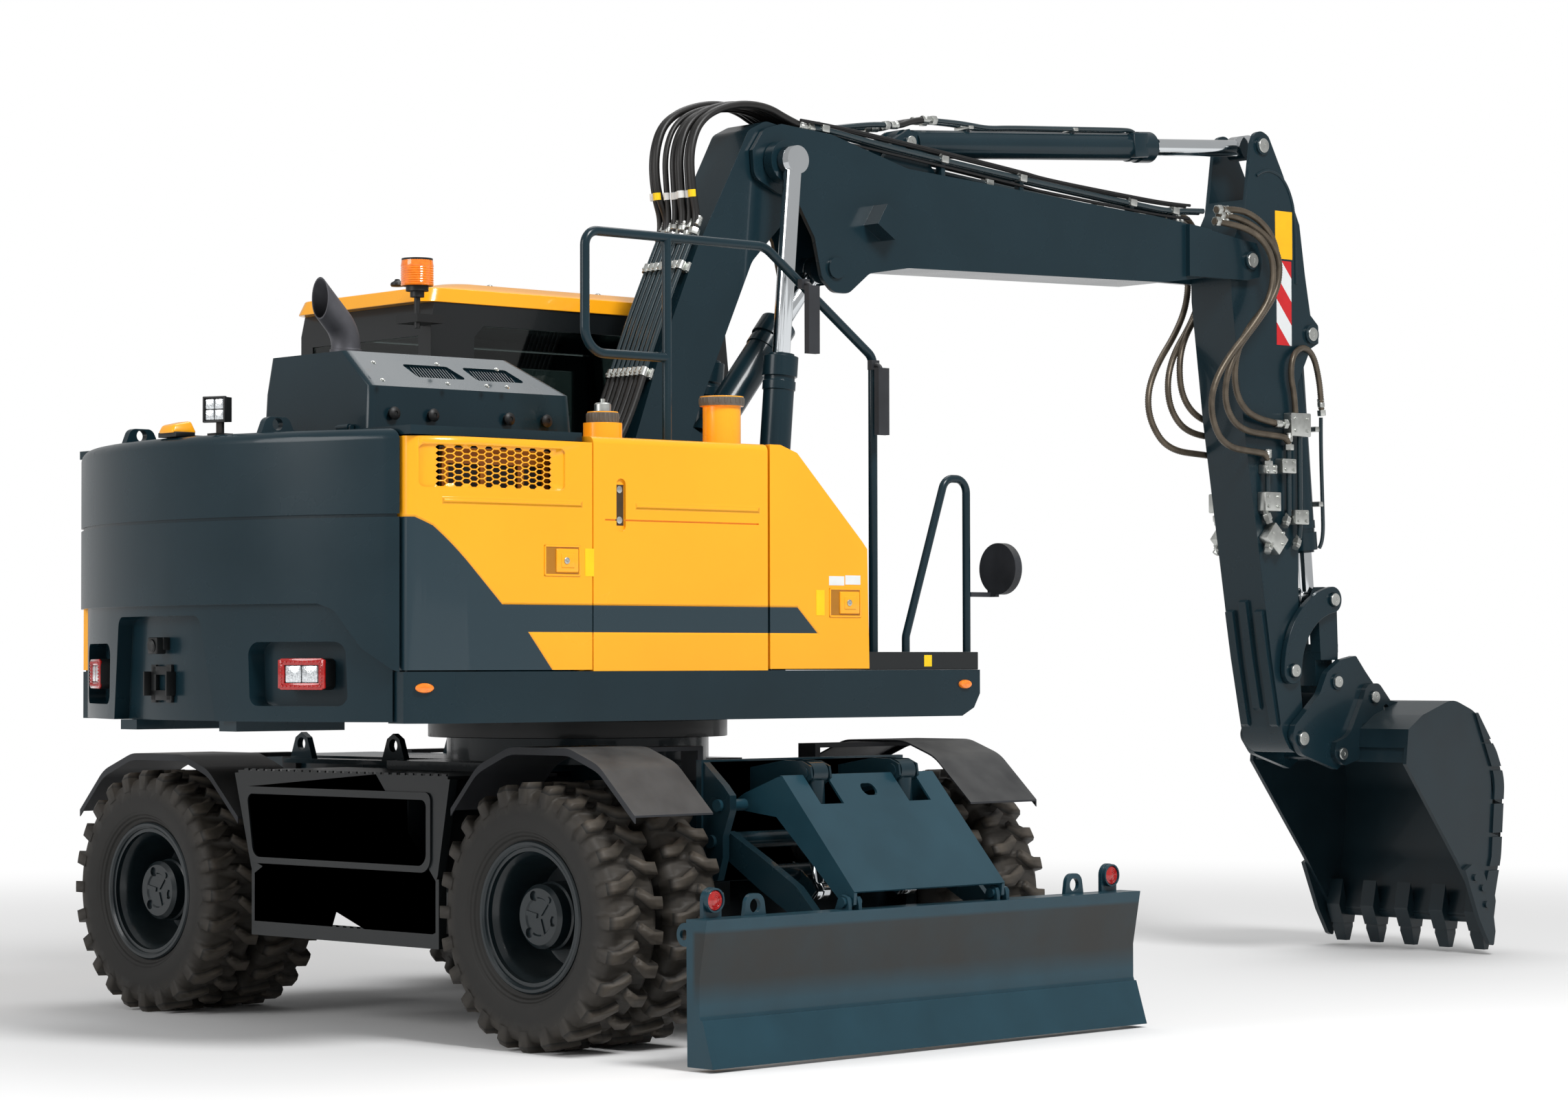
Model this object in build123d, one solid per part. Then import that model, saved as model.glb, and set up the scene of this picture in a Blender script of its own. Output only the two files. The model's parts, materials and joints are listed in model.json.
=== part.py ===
"""Wheeled excavator on twin tyres, with a dozer blade and a two-piece boom.

Lengths are millimetres.  Three frames are used, all with Z up from the ground:
the carrier's (origin on the swing axis, X to the steered axle, Y to the left), the upper
structure's (same origin, x ahead along the boom, y to its left, turned by SWING) and the boom
plane's (the upper structure's moved by BOOM_AT).  The whole part is then moved so that the
middle of its plan stands at the origin.
"""
import os
from math import atan2, degrees, hypot, sqrt

from build123d import *

os.makedirs("parts", exist_ok=True)

# ---- driving sizes -------------------------------------------------------------------------
SWING = -93.5                 # rest turn of the upper structure, degrees
GAP = 6.0                     # running clearance between moving neighbours
SEAT = 0.3                    # gap between pieces that rest on each other
PIN_FIT = 0.5                 # radial clearance round a pin

TYRE_R = 521.0                # to the lug tips
TREAD_R = 489.0               # between the lugs
LUGS = 24                     # lugs on each side of a tyre
TYRE_W = 278.0                # section width
BEAD_R = 254.0                # 20 inch bead seat
RIM_W = 190.0                 # between the rim flanges
FLANGE_R = 296.0
TWIN_PITCH = 325.0            # outer tyre centre to inner tyre centre
OUTER_Y = 1097.0              # outer tyre centre plane
TWIN_Y = OUTER_Y - TWIN_PITCH / 2
DISC_IN = TWIN_Y - 40         # inner face of the wheel disc
HUB_R = 126.0
HUB_FACE = 1155.0             # outer face of the wheel hub
AXLE_Z = TYRE_R
FRONT_X = 1442.0              # steered axle
REAR_X = -1063.0              # rigid axle at the blade end
KINGPIN_Y = 800.0
BEAM_R = 70.0
BEAM_END = 598.0
STEER_X = 176.0               # steering arm's end ahead of the axle
STEER_Y = 672.0               # and out from the middle
LINK_L = 210.0                # tie link between its pins

FRAME_W = 640.0               # box frame of the carrier
FRAME_TOP = 1090.0
FRAME_LOW = 640.0
FRAME_FRONT = 1790.0
FRAME_REAR = -1370.0
RING_R = 640.0                # slew ring cover
RING_LOW = 1190.0
RING_TOP = 1262.0

BOX_Y = 1140.0                # outer face of the side step boxes
BOX_TOP = 1052.0
GUARD_IN = 735.0              # mudguards, inner and outer edge
GUARD_OUT = 1145.0
GUARD_HALF = 600.0            # front mudguard, half its length

BLADE_HALF = 1235.0
BLADE_LOW = 15.0
BLADE_TOP = 558.0
BLADE_TIP = -2122.0
BLADE_UP_A = (-1460.0, 944.0)     # cover link's pin on the carrier
BLADE_UP_B = (-2030.0, 586.0)     # cover link's pin on the blade
BLADE_LO_A = (-1420.0, 802.0)     # lower arms' pin on the carrier
BLADE_LO_B = (-1990.0, 444.0)     # lower arms' pin on the blade
BLADE_CYL = ((-1665.0, 1068.0), (-1690.0, 610.0))
BLADE_CYL_Y = 250.0

HALF_W = 1250.0               # upper structure, half its width
TAIL_R = 2095.0               # counterweight's outer arc about the swing axis
CORNER_R = 340.0              # where the sides turn into the tail
CORNER_X = -sqrt((TAIL_R - CORNER_R) ** 2 - (HALF_W - CORNER_R) ** 2)
TAIL_SEAM = CORNER_X - 244.4  # joint between counterweight and side panels
SIDE_LOW = 1275.0
SKIRT_TOP = 1470.0
DECK_Z = 2385.0               # top of the side panels
HOOD_LOW = 2400.0
TANK_REAR = -911.0            # joints between the panels of the right side
TANK_FRONT = -7.0
FRONT_END = 1185.0            # front of the platform
STEP_TOP = 1545.0
PANEL_T = 30.0
HINGE_IN = 15.0               # door hinge's axis from the door's rear edge and skin
HINGE_R = 6.0

CAB_REAR, CAB_FRONT = -580.0, 1150.0
CAB_IN, CAB_OUT = 272.0, 1245.0
CAB_TOP = 3040.0
CAB_WALL = 55.0

BOOM_AT = (-45.0, -60.0)      # boom plane's origin in the upper structure's frame
BOOM_FOOT = (120.0, 1750.0)
ELBOW = (1010.0, 3717.0)
ARM_PIN = (4100.0, 3490.0)
ARM_TIP = (4470.0, 1115.0)
ROCKER_PIN = (4414.0, 1455.0)
LINK_TOP = (4720.0, 1813.0)
LINK_LOW = (4736.0, 1398.0)
BUCKET_PIN_A = (4736.0, 1035.0)
BUCKET_PIN_B = (4989.0, 1319.0)
LOWER_HALF = 122.0            # the lower boom stands between the upper boom's side plates
BOOM_HALF = 150.0
ARM_HALF = 135.0
SIDE_PLATE = 22.0
LIFT_Z = 1146.0               # lifting eyes on the carrier
EYE_HALF = 52.0               # half width of a cylinder's middle eye
FORK_IN = ARM_HALF + GAP      # plates that straddle the arm
FORK_OUT = FORK_IN + 36
FOOT_HALF = 184.0             # boom foot, half its width
CHEEK_T = 18.0                # plates of the upper frame beside the boom foot
FOOT_PIN_R = 45.0
ELBOW_PIN_R = 55.0
ARM_PIN_R = 45.0
TIP_PIN_R = 40.0
BUCKET_PIN_R = 32.0
EYE_PIN_R = 34.0
BUCKET_HALF = 520.0
BUCKET_REACH = 5600.0         # furthest bucket point from the swing axis

CYL_Y = 250.0                 # boom cylinders, either side of the boom plane
# base pin, rod pin, tube radius, rod radius, tube length, eye radius, eye half width,
# retraction left to the rod inside the tube, y of each cylinder
CYLINDERS = {
    "boom_cylinder": ((820.0, 1520.0), ELBOW, 68.0, 40.0, 1330.0, 62.0, 35.0, 460.0, (-CYL_Y, CYL_Y)),
    "adjust_cylinder": ((660.0, 2420.0), (1350.0, 3270.0), 76.0, 45.0, 760.0, 62.0, EYE_HALF, 200.0, (0.0,)),
    "arm_cylinder": ((1870.0, 3890.0), (4235.0, 4077.0), 66.0, 42.0, 1690.0, 62.0, EYE_HALF, 470.0, (0.0,)),
    "bucket_cylinder": ((4600.0, 3153.0), LINK_TOP, 58.0, 36.0, 1090.0, 58.0, EYE_HALF, 140.0, (0.0,)),
}



def side_y(x, inset):
    """Half width of the upper body at x, that far inside its skin."""
    r, y = CORNER_R - inset, HALF_W - CORNER_R
    return y + sqrt(r * r - (x - CORNER_X) ** 2) if x < CORNER_X else HALF_W - inset


DOOR_REAR = TAIL_SEAM + GAP   # rear edges of the panel doors
DOOR_FRONT = TANK_FRONT + 10
HINGE_REAR = (DOOR_REAR + HINGE_IN, side_y(DOOR_REAR + HINGE_IN, HINGE_IN))
HINGE_FRONT = (DOOR_FRONT + HINGE_IN, -HALF_W + HINGE_IN)
HINGE_CAB = (-318.0, CAB_OUT - 12.0)
HOOD_X = TAIL_SEAM + 595      # middle of the engine hood
HOOD_Y = -430.0
HINGE_HOOD = (HOOD_X - 512, HOOD_LOW + 16)

PLAN_MID = ((BLADE_TIP + FRONT_X + GUARD_HALF) / 2, (TAIL_R - BUCKET_REACH) / 2)

# ---- frames and helpers --------------------------------------------------------------------
CARRIER = Location((-PLAN_MID[0], -PLAN_MID[1], 0))
UPPER = CARRIER * Location((0, 0, 0), (0, 0, 1), SWING)
BOOM = UPPER * Location((*BOOM_AT, 0))


def keep(name, shape, frame=CARRIER):
    """Place a piece in the part's frame and write it to its own file."""
    placed = frame * shape
    placed.label = name
    export_step(placed, f"parts/{name}.step")


def pieces(*shapes):
    """Solids of one piece that do not touch."""
    return Compound(children=list(shapes))


def block(x0, x1, y0, y1, z0, z1):
    size = (x1 - x0, y1 - y0, z1 - z0)
    return Location(((x0 + x1) / 2, (y0 + y1) / 2, (z0 + z1) / 2)) * Box(*size)


def outline(points, rounds=()):
    """Closed outline with some corners rounded: rounds holds (corner number, radius)."""
    face = make_face(Polyline(*points, close=True))
    for corner, r in rounds:
        face = fillet(face.vertices().sort_by_distance(points[corner])[:1], r)
    return face


def plate_xz(points, y0, y1, rounds=()):
    """Plate with its outline in x, z and its thickness from y0 to y1."""
    face = Plane.XZ * outline(points, rounds)
    return Location((0, y1, 0)) * extrude(face, y1 - y0, dir=(0, -1, 0))


def plate_yz(points, x0, x1, rounds=()):
    """Plate with its outline in y, z and its thickness from x0 to x1."""
    face = Plane.YZ * outline(points, rounds)
    return Location((x0, 0, 0)) * extrude(face, x1 - x0, dir=(1, 0, 0))


def rod_x(y, z, r, x0, x1):
    return Location(((x0 + x1) / 2, y, z), (0, 1, 0), 90) * Cylinder(r, x1 - x0)


def rod_y(x, z, r, y0, y1):
    return Location((x, (y0 + y1) / 2, z), (1, 0, 0), 90) * Cylinder(r, y1 - y0)


def rod_z(x, y, r, z0, z1):
    return Location((x, y, (z0 + z1) / 2)) * Cylinder(r, z1 - z0)


def mirrored(shape):
    return mirror(shape, Plane.XZ)


def joined(*shapes):
    out = shapes[0]
    for shape in shapes[1:]:
        out = out + shape
    return out


def pair(shape):
    """The shape and its mirror image in the x, z plane."""
    return joined(shape, mirrored(shape))


def bore(shape, pin, r):
    return shape - rod_y(*pin, r + PIN_FIT, -700, 700)


def bent_tube(points, radii, r):
    """Round tube along straight runs with an arc at each corner."""
    path = FilletPolyline(*points, radius=radii)
    start = Plane(origin=path @ 0, z_dir=path % 0)
    return sweep(start * Circle(r), path=path)


# ---- wheels --------------------------------------------------------------------------------
def tyre():
    """Cross-ply tyre about Y: turned casing, and slanted lugs that reach down the shoulders."""
    half = TYRE_W / 2
    seat = RIM_W / 2 - SEAT
    profile = [
        (BEAD_R + SEAT, -seat), (FLANGE_R + 2, -seat), (FLANGE_R + 14, -seat - 16), (FLANGE_R + 50, -half + 6),
        (395, -half + 1), (446, -half + 5), (TREAD_R - 12, -half + 22), (TREAD_R, -half + 46),
        (TREAD_R, half - 46), (TREAD_R - 12, half - 22), (446, half - 5), (395, half - 1),
        (FLANGE_R + 50, half - 6), (FLANGE_R + 14, seat + 16), (FLANGE_R + 2, seat), (BEAD_R + SEAT, seat),
    ]
    casing = revolve(make_face(Polyline(*profile, close=True)), Axis.Y)
    foot = [(-24, half - 1), (24, half - 1), (27, 78), (64, 10), (34, -4), (-20, 66)]
    lug = extrude(Plane.XY.offset(438) * outline(foot), TYRE_R - 430)
    crown = revolve(outline([(400, -half), (TYRE_R - 26, -half), (TYRE_R, -half + 20), (TYRE_R, half - 20),
                             (TYRE_R - 26, half), (400, half)]), Axis.Y)
    lug = lug & crown
    pitch = 360 / LUGS
    near = [Rot(0, pitch * i, 0) * lug for i in range(LUGS)]
    far = [Rot(0, pitch * (i + 0.5), 0) * mirrored(lug) for i in range(LUGS)]
    return casing + near + far


def rim(x):
    """Twin rims, wheel disc and planetary hub as one turned piece, outer face at +Y."""
    lip = RIM_W / 2
    out, inn = OUTER_Y, OUTER_Y - TWIN_PITCH
    wall = 14.0
    edge = out + lip
    profile = [
        (0, DISC_IN), (0, HUB_FACE - 6), (70, HUB_FACE - 6), (76, HUB_FACE), (HUB_R - 16, HUB_FACE),
        (HUB_R, HUB_FACE - 14), (HUB_R, HUB_FACE - 60), (HUB_R + 8, HUB_FACE - 66), (HUB_R + 8, TWIN_Y + 26),
        (BEAD_R - 46, TWIN_Y + 26), (BEAD_R - 38, TWIN_Y + 50), (BEAD_R - 22, edge - 62),
        (BEAD_R - wall, edge - 34), (BEAD_R - 2, edge - 24), (BEAD_R + 4, edge - 12), (FLANGE_R - 30, edge - 8),
        (FLANGE_R - 26, edge + 6), (FLANGE_R - 17, edge + 13), (FLANGE_R - 6, edge + 13), (FLANGE_R, edge + 7),
        (FLANGE_R, edge), (BEAD_R, edge), (BEAD_R, out - lip), (FLANGE_R, out - lip),
        (FLANGE_R, out - lip - 12), (BEAD_R - 6, out - lip - 12), (BEAD_R - 6, inn + lip + 12),
        (FLANGE_R, inn + lip + 12), (FLANGE_R, inn + lip), (BEAD_R, inn + lip),
        (BEAD_R, inn - lip), (FLANGE_R, inn - lip), (FLANGE_R, inn - lip - 12),
        (BEAD_R - wall, inn - lip - 12), (BEAD_R - wall, TWIN_Y - 26), (150, TWIN_Y - 26),
        (150, DISC_IN),
    ]
    body = revolve(make_face(Polyline(*profile, close=True)), Axis.Y)
    cups = [Rot(0, 120 * i + 20, 0) * rod_y(0, 84, 20, HUB_FACE - 12, HUB_FACE + 1) for i in range(3)]
    ribs = [Rot(0, 120 * i + 80, 0) * block(-9, 9, HUB_FACE - 7, HUB_FACE - 1, 12, 78) for i in range(3)]
    plug = rod_y(-58, 66, 13, HUB_FACE - 1, HUB_FACE + 5)
    body = body - cups
    return Location((x, 0, AXLE_Z)) * (body + [*ribs, plug])


def wheels():
    turned = tyre()
    for end, x in (("rear", REAR_X), ("front", FRONT_X)):
        twin = pieces(*[Location((x, y, AXLE_Z)) * turned for y in (OUTER_Y, OUTER_Y - TWIN_PITCH)])
        keep(f"tyres_{end}_left", twin)
        keep(f"tyres_{end}_right", mirrored(twin))
        keep(f"wheel_{end}_left", rim(x))
        keep(f"wheel_{end}_right", mirrored(rim(x)))


# ---- axles, steering and driveline ---------------------------------------------------------
def rear_axle():
    reach = DISC_IN - SEAT
    beam = rod_y(REAR_X, AXLE_Z, 88, -reach, reach)
    diff = Location((REAR_X, 0, AXLE_Z)) * Sphere(172)
    brake = rod_y(REAR_X, AXLE_Z, 135, 510, 610)
    neck = rod_x(0, AXLE_Z, 85, REAR_X, REAR_X + 300)
    seat = block(REAR_X - 90, REAR_X + 90, 210, FRAME_W / 2 - 4, AXLE_Z, FRAME_LOW - SEAT)
    keep("rear_axle", joined(beam, diff, pair(brake), neck, pair(seat)))


def front_axle():
    beam = rod_y(FRONT_X, AXLE_Z, BEAM_R, -BEAM_END, BEAM_END)
    diff = Location((FRONT_X, 0, AXLE_Z)) * Sphere(160)
    neck = rod_x(0, AXLE_Z, 85, FRONT_X - 300, FRONT_X)
    saddle = block(FRONT_X - 80, FRONT_X + 80, -60, 60, AXLE_Z + 100, 700 - SEAT)
    web = block(FRONT_X - 50, FRONT_X + 50, 550, BEAM_END, AXLE_Z - 138, AXLE_Z + 138)
    tongue = block(FRONT_X - 50, FRONT_X + 50, 550, KINGPIN_Y + 40, AXLE_Z + 98, AXLE_Z + 138)
    tongue = tongue - rod_z(FRONT_X, KINGPIN_Y, 22 + PIN_FIT, AXLE_Z, AXLE_Z + 200)
    yoke = joined(web, tongue, Location((0, 0, -236)) * tongue)
    x = FRONT_X + STEER_X
    barrel = rod_y(x, AXLE_Z, 48, -170, 170)
    lug = block(FRONT_X + 60, x, 110, 140, AXLE_Z - 30, AXLE_Z + 30)
    body = joined(beam, diff, neck, saddle, barrel, pair(yoke), pair(lug))
    keep("front_axle", body - rod_y(x, AXLE_Z, 24 + PIN_FIT, -171, 171))


def knuckle():
    """Steering knuckle inside the twin rim, with its arm to the tie link."""
    core = block(FRONT_X - 60, FRONT_X + 60, KINGPIN_Y - 60, KINGPIN_Y + 20, AXLE_Z - 92, AXLE_Z + 92)
    stub = rod_y(FRONT_X, AXLE_Z, 75, KINGPIN_Y, DISC_IN - SEAT)
    x, y = FRONT_X + STEER_X, STEER_Y
    arm = extrude(make_face(Polyline((FRONT_X + 50, KINGPIN_Y - 55), (x - 26, y - 16), (x, y - 30),
                                     (x + 28, y), (x + 8, y + 28), (FRONT_X + 58, KINGPIN_Y + 10),
                                     close=True)), 36)
    arm = Location((0, 0, AXLE_Z - 18)) * arm - rod_z(x, y, 16 + PIN_FIT, AXLE_Z - 40, AXLE_Z + 40)
    kingpin = rod_z(FRONT_X, KINGPIN_Y, 22, AXLE_Z - 136, AXLE_Z + 136)
    left = joined(core, stub, arm, kingpin)
    keep("knuckle_left", left)
    keep("knuckle_right", mirrored(left))


ROD_EYE = STEER_Y - LINK_L     # steering rod's end, where the tie link starts


def steering():
    """Through rod of the steering cylinder, and a tie link under each knuckle arm."""
    x = FRONT_X + STEER_X
    bar = rod_y(x, AXLE_Z, 24, -ROD_EYE + 20, ROD_EYE - 20)
    end = joined(block(x - 28, x + 28, ROD_EYE - 30, ROD_EYE + 30, AXLE_Z - 18, AXLE_Z + 26),
                 rod_z(x, ROD_EYE, 12, AXLE_Z - 62, AXLE_Z))
    keep("steering_rods", joined(bar, pair(end)))
    z0, z1 = AXLE_Z - 56, AXLE_Z - 24
    link = joined(block(x - 15, x + 15, ROD_EYE, STEER_Y, z0 + 4, z1 - 4), rod_z(x, ROD_EYE, 26, z0, z1),
                  rod_z(x, STEER_Y, 23, z0, z1))
    link = link - rod_z(x, ROD_EYE, 12 + PIN_FIT, z0 - 1, z1 + 1)
    keep("tie_link_left", link)
    keep("tie_link_right", mirrored(link))


def driveline():
    case = block(-180, 160, -150, 150, AXLE_Z - 110, FRAME_LOW - SEAT)
    rear = rod_x(0, AXLE_Z, 38, REAR_X + 300 + SEAT, -180)
    front = rod_x(0, AXLE_Z, 38, 160, FRONT_X - 300 - SEAT)
    motor = rod_x(0, AXLE_Z + 20, 85, 160, 330)
    keep("driveline", joined(case, rear, front, motor))


# ---- carrier frame, step boxes and mudguards -----------------------------------------------
def carrier_frame():
    half = FRAME_W / 2
    beam = block(FRAME_REAR, FRAME_FRONT, -half, half, FRAME_LOW, FRAME_TOP)
    inner = block(FRAME_REAR + 30, FRAME_FRONT - 30, -half + 20, half - 20, FRAME_LOW - 1, FRAME_TOP - 20)
    shell = beam - inner
    for x in (REAR_X - 250, REAR_X + 250, -200, 200, FRONT_X - 250, FRONT_X + 250):
        shell = shell + block(x - 12, x + 12, -half + 10, half - 10, FRAME_LOW, FRAME_TOP - 10)
    shell = shell + block(FRONT_X - 100, FRONT_X + 100, -half + 10, half - 10, 700, 730)
    for x in (-200, 200):
        shell = shell + block(x - 60, x + 60, -half + 10, half - 10, FRAME_LOW, FRAME_LOW + 15)
    tower = rod_z(0, 0, 560, FRAME_TOP - 10, RING_LOW)
    outrigger = block(-330, 480, -660, 660, BOX_TOP + SEAT, FRAME_TOP)
    rear_wall = block(FRAME_REAR, FRAME_REAR + 30, -575, 575, FRAME_LOW, 1120)
    a, b = BLADE_LO_A, BLADE_UP_A
    bracket = plate_xz([(FRAME_REAR + 10, FRAME_LOW), (a[0] - 30, FRAME_LOW + 10), (a[0] - 60, a[1] - 60),
                        (a[0] - 60, a[1] + 20), (b[0] - 60, b[1] - 20), (b[0] - 60, b[1] + 40),
                        (b[0] - 20, b[1] + 80), (FRAME_REAR + 10, 1120)], 530, 565)
    bracket = bracket - rod_y(*a, 26 + PIN_FIT, 500, 600) - rod_y(*b, 24 + PIN_FIT, 500, 600)
    t = BLADE_CYL[0]
    horn = plate_xz([(FRAME_REAR + 10, 960), (FRAME_REAR + 10, 1085), (-1560, 1118), (t[0] + 10, t[1] + 48),
                     (t[0] - 40, t[1] + 28), (t[0] - 48, t[1] - 18), (t[0] - 10, t[1] - 46),
                     (-1500, 995)], -5, 5)
    horns = joined(*[Location((0, BLADE_CYL_Y + s * (46 + GAP), 0)) * horn for s in (-1, 1)])
    horns = joined(horns, rod_y(*t, 28, BLADE_CYL_Y - 62, BLADE_CYL_Y + 62))
    eyes = []
    for x in (1336, 690):
        lug = plate_xz([(x - 80, FRAME_TOP - 12), (x - 42, LIFT_Z + 28), (x, LIFT_Z + 52),
                        (x + 42, LIFT_Z + 28), (x + 80, FRAME_TOP - 12)], 425, 455)
        eyes.append(lug - rod_y(x, LIFT_Z, 28, 400, 500))
    shelf = block(500, 1450, -465, 465, FRAME_TOP - 30, FRAME_TOP - 10)
    keep("carrier_frame", joined(shell, tower, outrigger, rear_wall, shelf, pair(bracket), pair(horns),
                                 *[pair(eye) for eye in eyes]))
    keep("slew_ring", rod_z(0, 0, RING_R, RING_LOW + SEAT, RING_TOP) - rod_z(0, 0, 430, 1100, 1300))


def step_boxes():
    """Deep tray behind a wide framed face on each side, with a hung step below it."""
    y = BOX_Y
    face = plate_xz([(-430, 615), (780, 615), (905, 1040), (-513, 1040)], y - 40, y, ((0, 55), (1, 55)))
    hole = plate_xz([(-373, 690), (765, 690), (810, 955), (-373, 955)], y - 60, y + 10,
                    ((0, 50), (1, 50), (2, 30), (3, 30)))
    lip = plate_xz([(-400, 664), (790, 664), (845, 985), (-400, 985)], y - 1, y + 8,
                   ((0, 60), (1, 60), (2, 34), (3, 34)))
    tray = block(-420, 600, 560, y - 40, 640, 1040) - block(-400, 580, 660, y + 1, 680, 1000)
    divider = block(-180, -172, 660 + SEAT, y - 60, 680 + SEAT, 1000 - SEAT)
    top = block(-500, 880, 560, y, 1040, BOX_TOP)
    root = block(-300, 450, FRAME_W / 2 + SEAT, 570, 900, 1028)
    step = block(-440, 775, y - 70, y, 362, 420) - block(-428, 763, y - 62, y - 8, 350, 408)
    hangers = joined(block(-445, -425, y - 40, y, 362, 640), block(765, 785, y - 40, y, 362, 640))
    teeth = [block(-430 + 46 * i, -406 + 46 * i, y - 8, y, 419, 427) for i in range(26)]
    ledge = [block(-490 + 52 * i, -462 + 52 * i, y - 8, y, BOX_TOP - 1, BOX_TOP + 8) for i in range(26)]
    left = joined(face + lip - hole, tray, top, root, step, hangers) + teeth + ledge
    keep("step_boxes", pieces(left, mirrored(left), divider, mirrored(divider)))


# x of the axle, z of the top, reach behind and ahead, z of the low edge, x of the bracket
GUARDS = (
    (REAR_X, 1175.0, 540.0, 540.0, 925.0, REAR_X),
    (FRONT_X, 1112.0, 565.0, GUARD_HALF, 855.0, FRONT_X + 120),
)


def mudguards():
    """Pressed guards: each arch is one line of straights and arcs, 8 mm thick, with a turned edge."""
    made = []
    for x, top, back, ahead, low, arm_x in GUARDS:
        line = [(x - back, low), (x - back * 0.62, top - 62), (x - back * 0.30, top),
                (x + ahead * 0.34, top), (x + ahead * 0.70, top - 78), (x + ahead, low)]
        inner = [(px, pz - 8) for px, pz in line]
        rounds = ((1, 190), (2, 190), (3, 190), (4, 190))
        arch = line + inner[::-1]
        under = tuple((11 - corner, r) for corner, r in rounds)
        guard = plate_xz(arch, GUARD_IN, GUARD_OUT, rounds + under)
        deep = [(px, pz - 30) for px, pz in line]
        edge = plate_xz(line + deep[::-1], GUARD_OUT - 6, GUARD_OUT, rounds + under)
        arm = block(arm_x - 50, arm_x + 50, FRAME_W / 2 + SEAT, 1000, top - 26, top - 8)
        foot = block(arm_x - 50, arm_x + 50, FRAME_W / 2 + SEAT, FRAME_W / 2 + 30, FRAME_TOP - 60, top - 8)
        left = joined(guard, edge, arm, foot)
        made += [left, mirrored(left)]
    keep("mudguards", pieces(*made))


# ---- dozer blade ---------------------------------------------------------------------------
LUG_IN = (386.0, 404.0)       # blade lugs either side of the cover link's cheek
LUG_OUT = (441.0, 459.0)
CHEEK_Y = (414.0, 430.0)
ARM_Y = (480.0, 520.0)        # lower blade arms


def blade():
    half = BLADE_HALF
    board = plate_xz([(-2090, BLADE_TOP), (-2050, 340), (-2050, 205), (BLADE_TIP, BLADE_LOW),
                      (BLADE_TIP + 14, BLADE_LOW), (-2038, 205), (-2038, 340), (-2078, BLADE_TOP)], -half, half)
    end = plate_xz([(-2090, BLADE_TOP), (-2050, 340), (-2050, 205), (BLADE_TIP, BLADE_LOW),
                    (-1985, BLADE_LOW), (-1980, BLADE_TOP)], half - 14, half)
    rib = plate_xz([(-2045, 340), (-2045, 205), (-1990, 180), (-1990, 350)], -half, half)
    top = plate_xz([(-2090, BLADE_TOP), (-2080, BLADE_TOP - 30), (-1980, BLADE_TOP - 30),
                    (-1980, BLADE_TOP)], -half, half)
    top = top - pair(block(-2076, -1970, LUG_IN[1], LUG_OUT[0], 500, 600))
    up, low = BLADE_UP_B, BLADE_LO_B
    side = [(-2044, 300), (-2062, 500), (up[0] - 30, up[1] - 10), (up[0] - 22, up[1] + 20),
               (up[0] + 8, up[1] + 29), (up[0] + 30, up[1] + 5), (-1960, 500), (low[0] + 42, low[1]),
               (low[0] + 20, low[1] - 45), (-1990, 300)]
    lugs = joined(plate_xz(side, *LUG_IN), plate_xz(side, *LUG_OUT))
    lugs = lugs - rod_y(*up, 20 + PIN_FIT, 300, 500) - rod_y(*low, 26 + PIN_FIT, 300, 500)
    # brackets of the round reflectors, lifting eyes and the tie-down lugs at the ends
    stand = plate_yz([(1083, 540), (1083, 672), (1177, 672), (1177, 540)], -2010, -1992, ((1, 46), (2, 46)))
    rim = rod_x(1130, 624, 46, -2028, -2009) - rod_x(1130, 624, 39, -2030, -2016)
    eye = plate_yz([(850, 540), (866, 640), (954, 640), (970, 540)], -2012, -1994, ((1, 40), (2, 40)))
    eye = eye - rod_x(910, 594, 27, -2020, -1980)
    hook = rod_y(-1972, 500, 44, half - 14, half) - rod_y(-1966, 500, 20, half - 20, half + 2)
    edge = plate_xz([(BLADE_TIP, BLADE_LOW), (BLADE_TIP + 22, BLADE_LOW), (-2050, 190), (-2066, 190)],
                    -half, half)
    ends = [pair(shape) for shape in (end, lugs, hook, stand, rim, eye)]
    keep("blade", joined(board, rib, top, edge, *ends))


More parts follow.
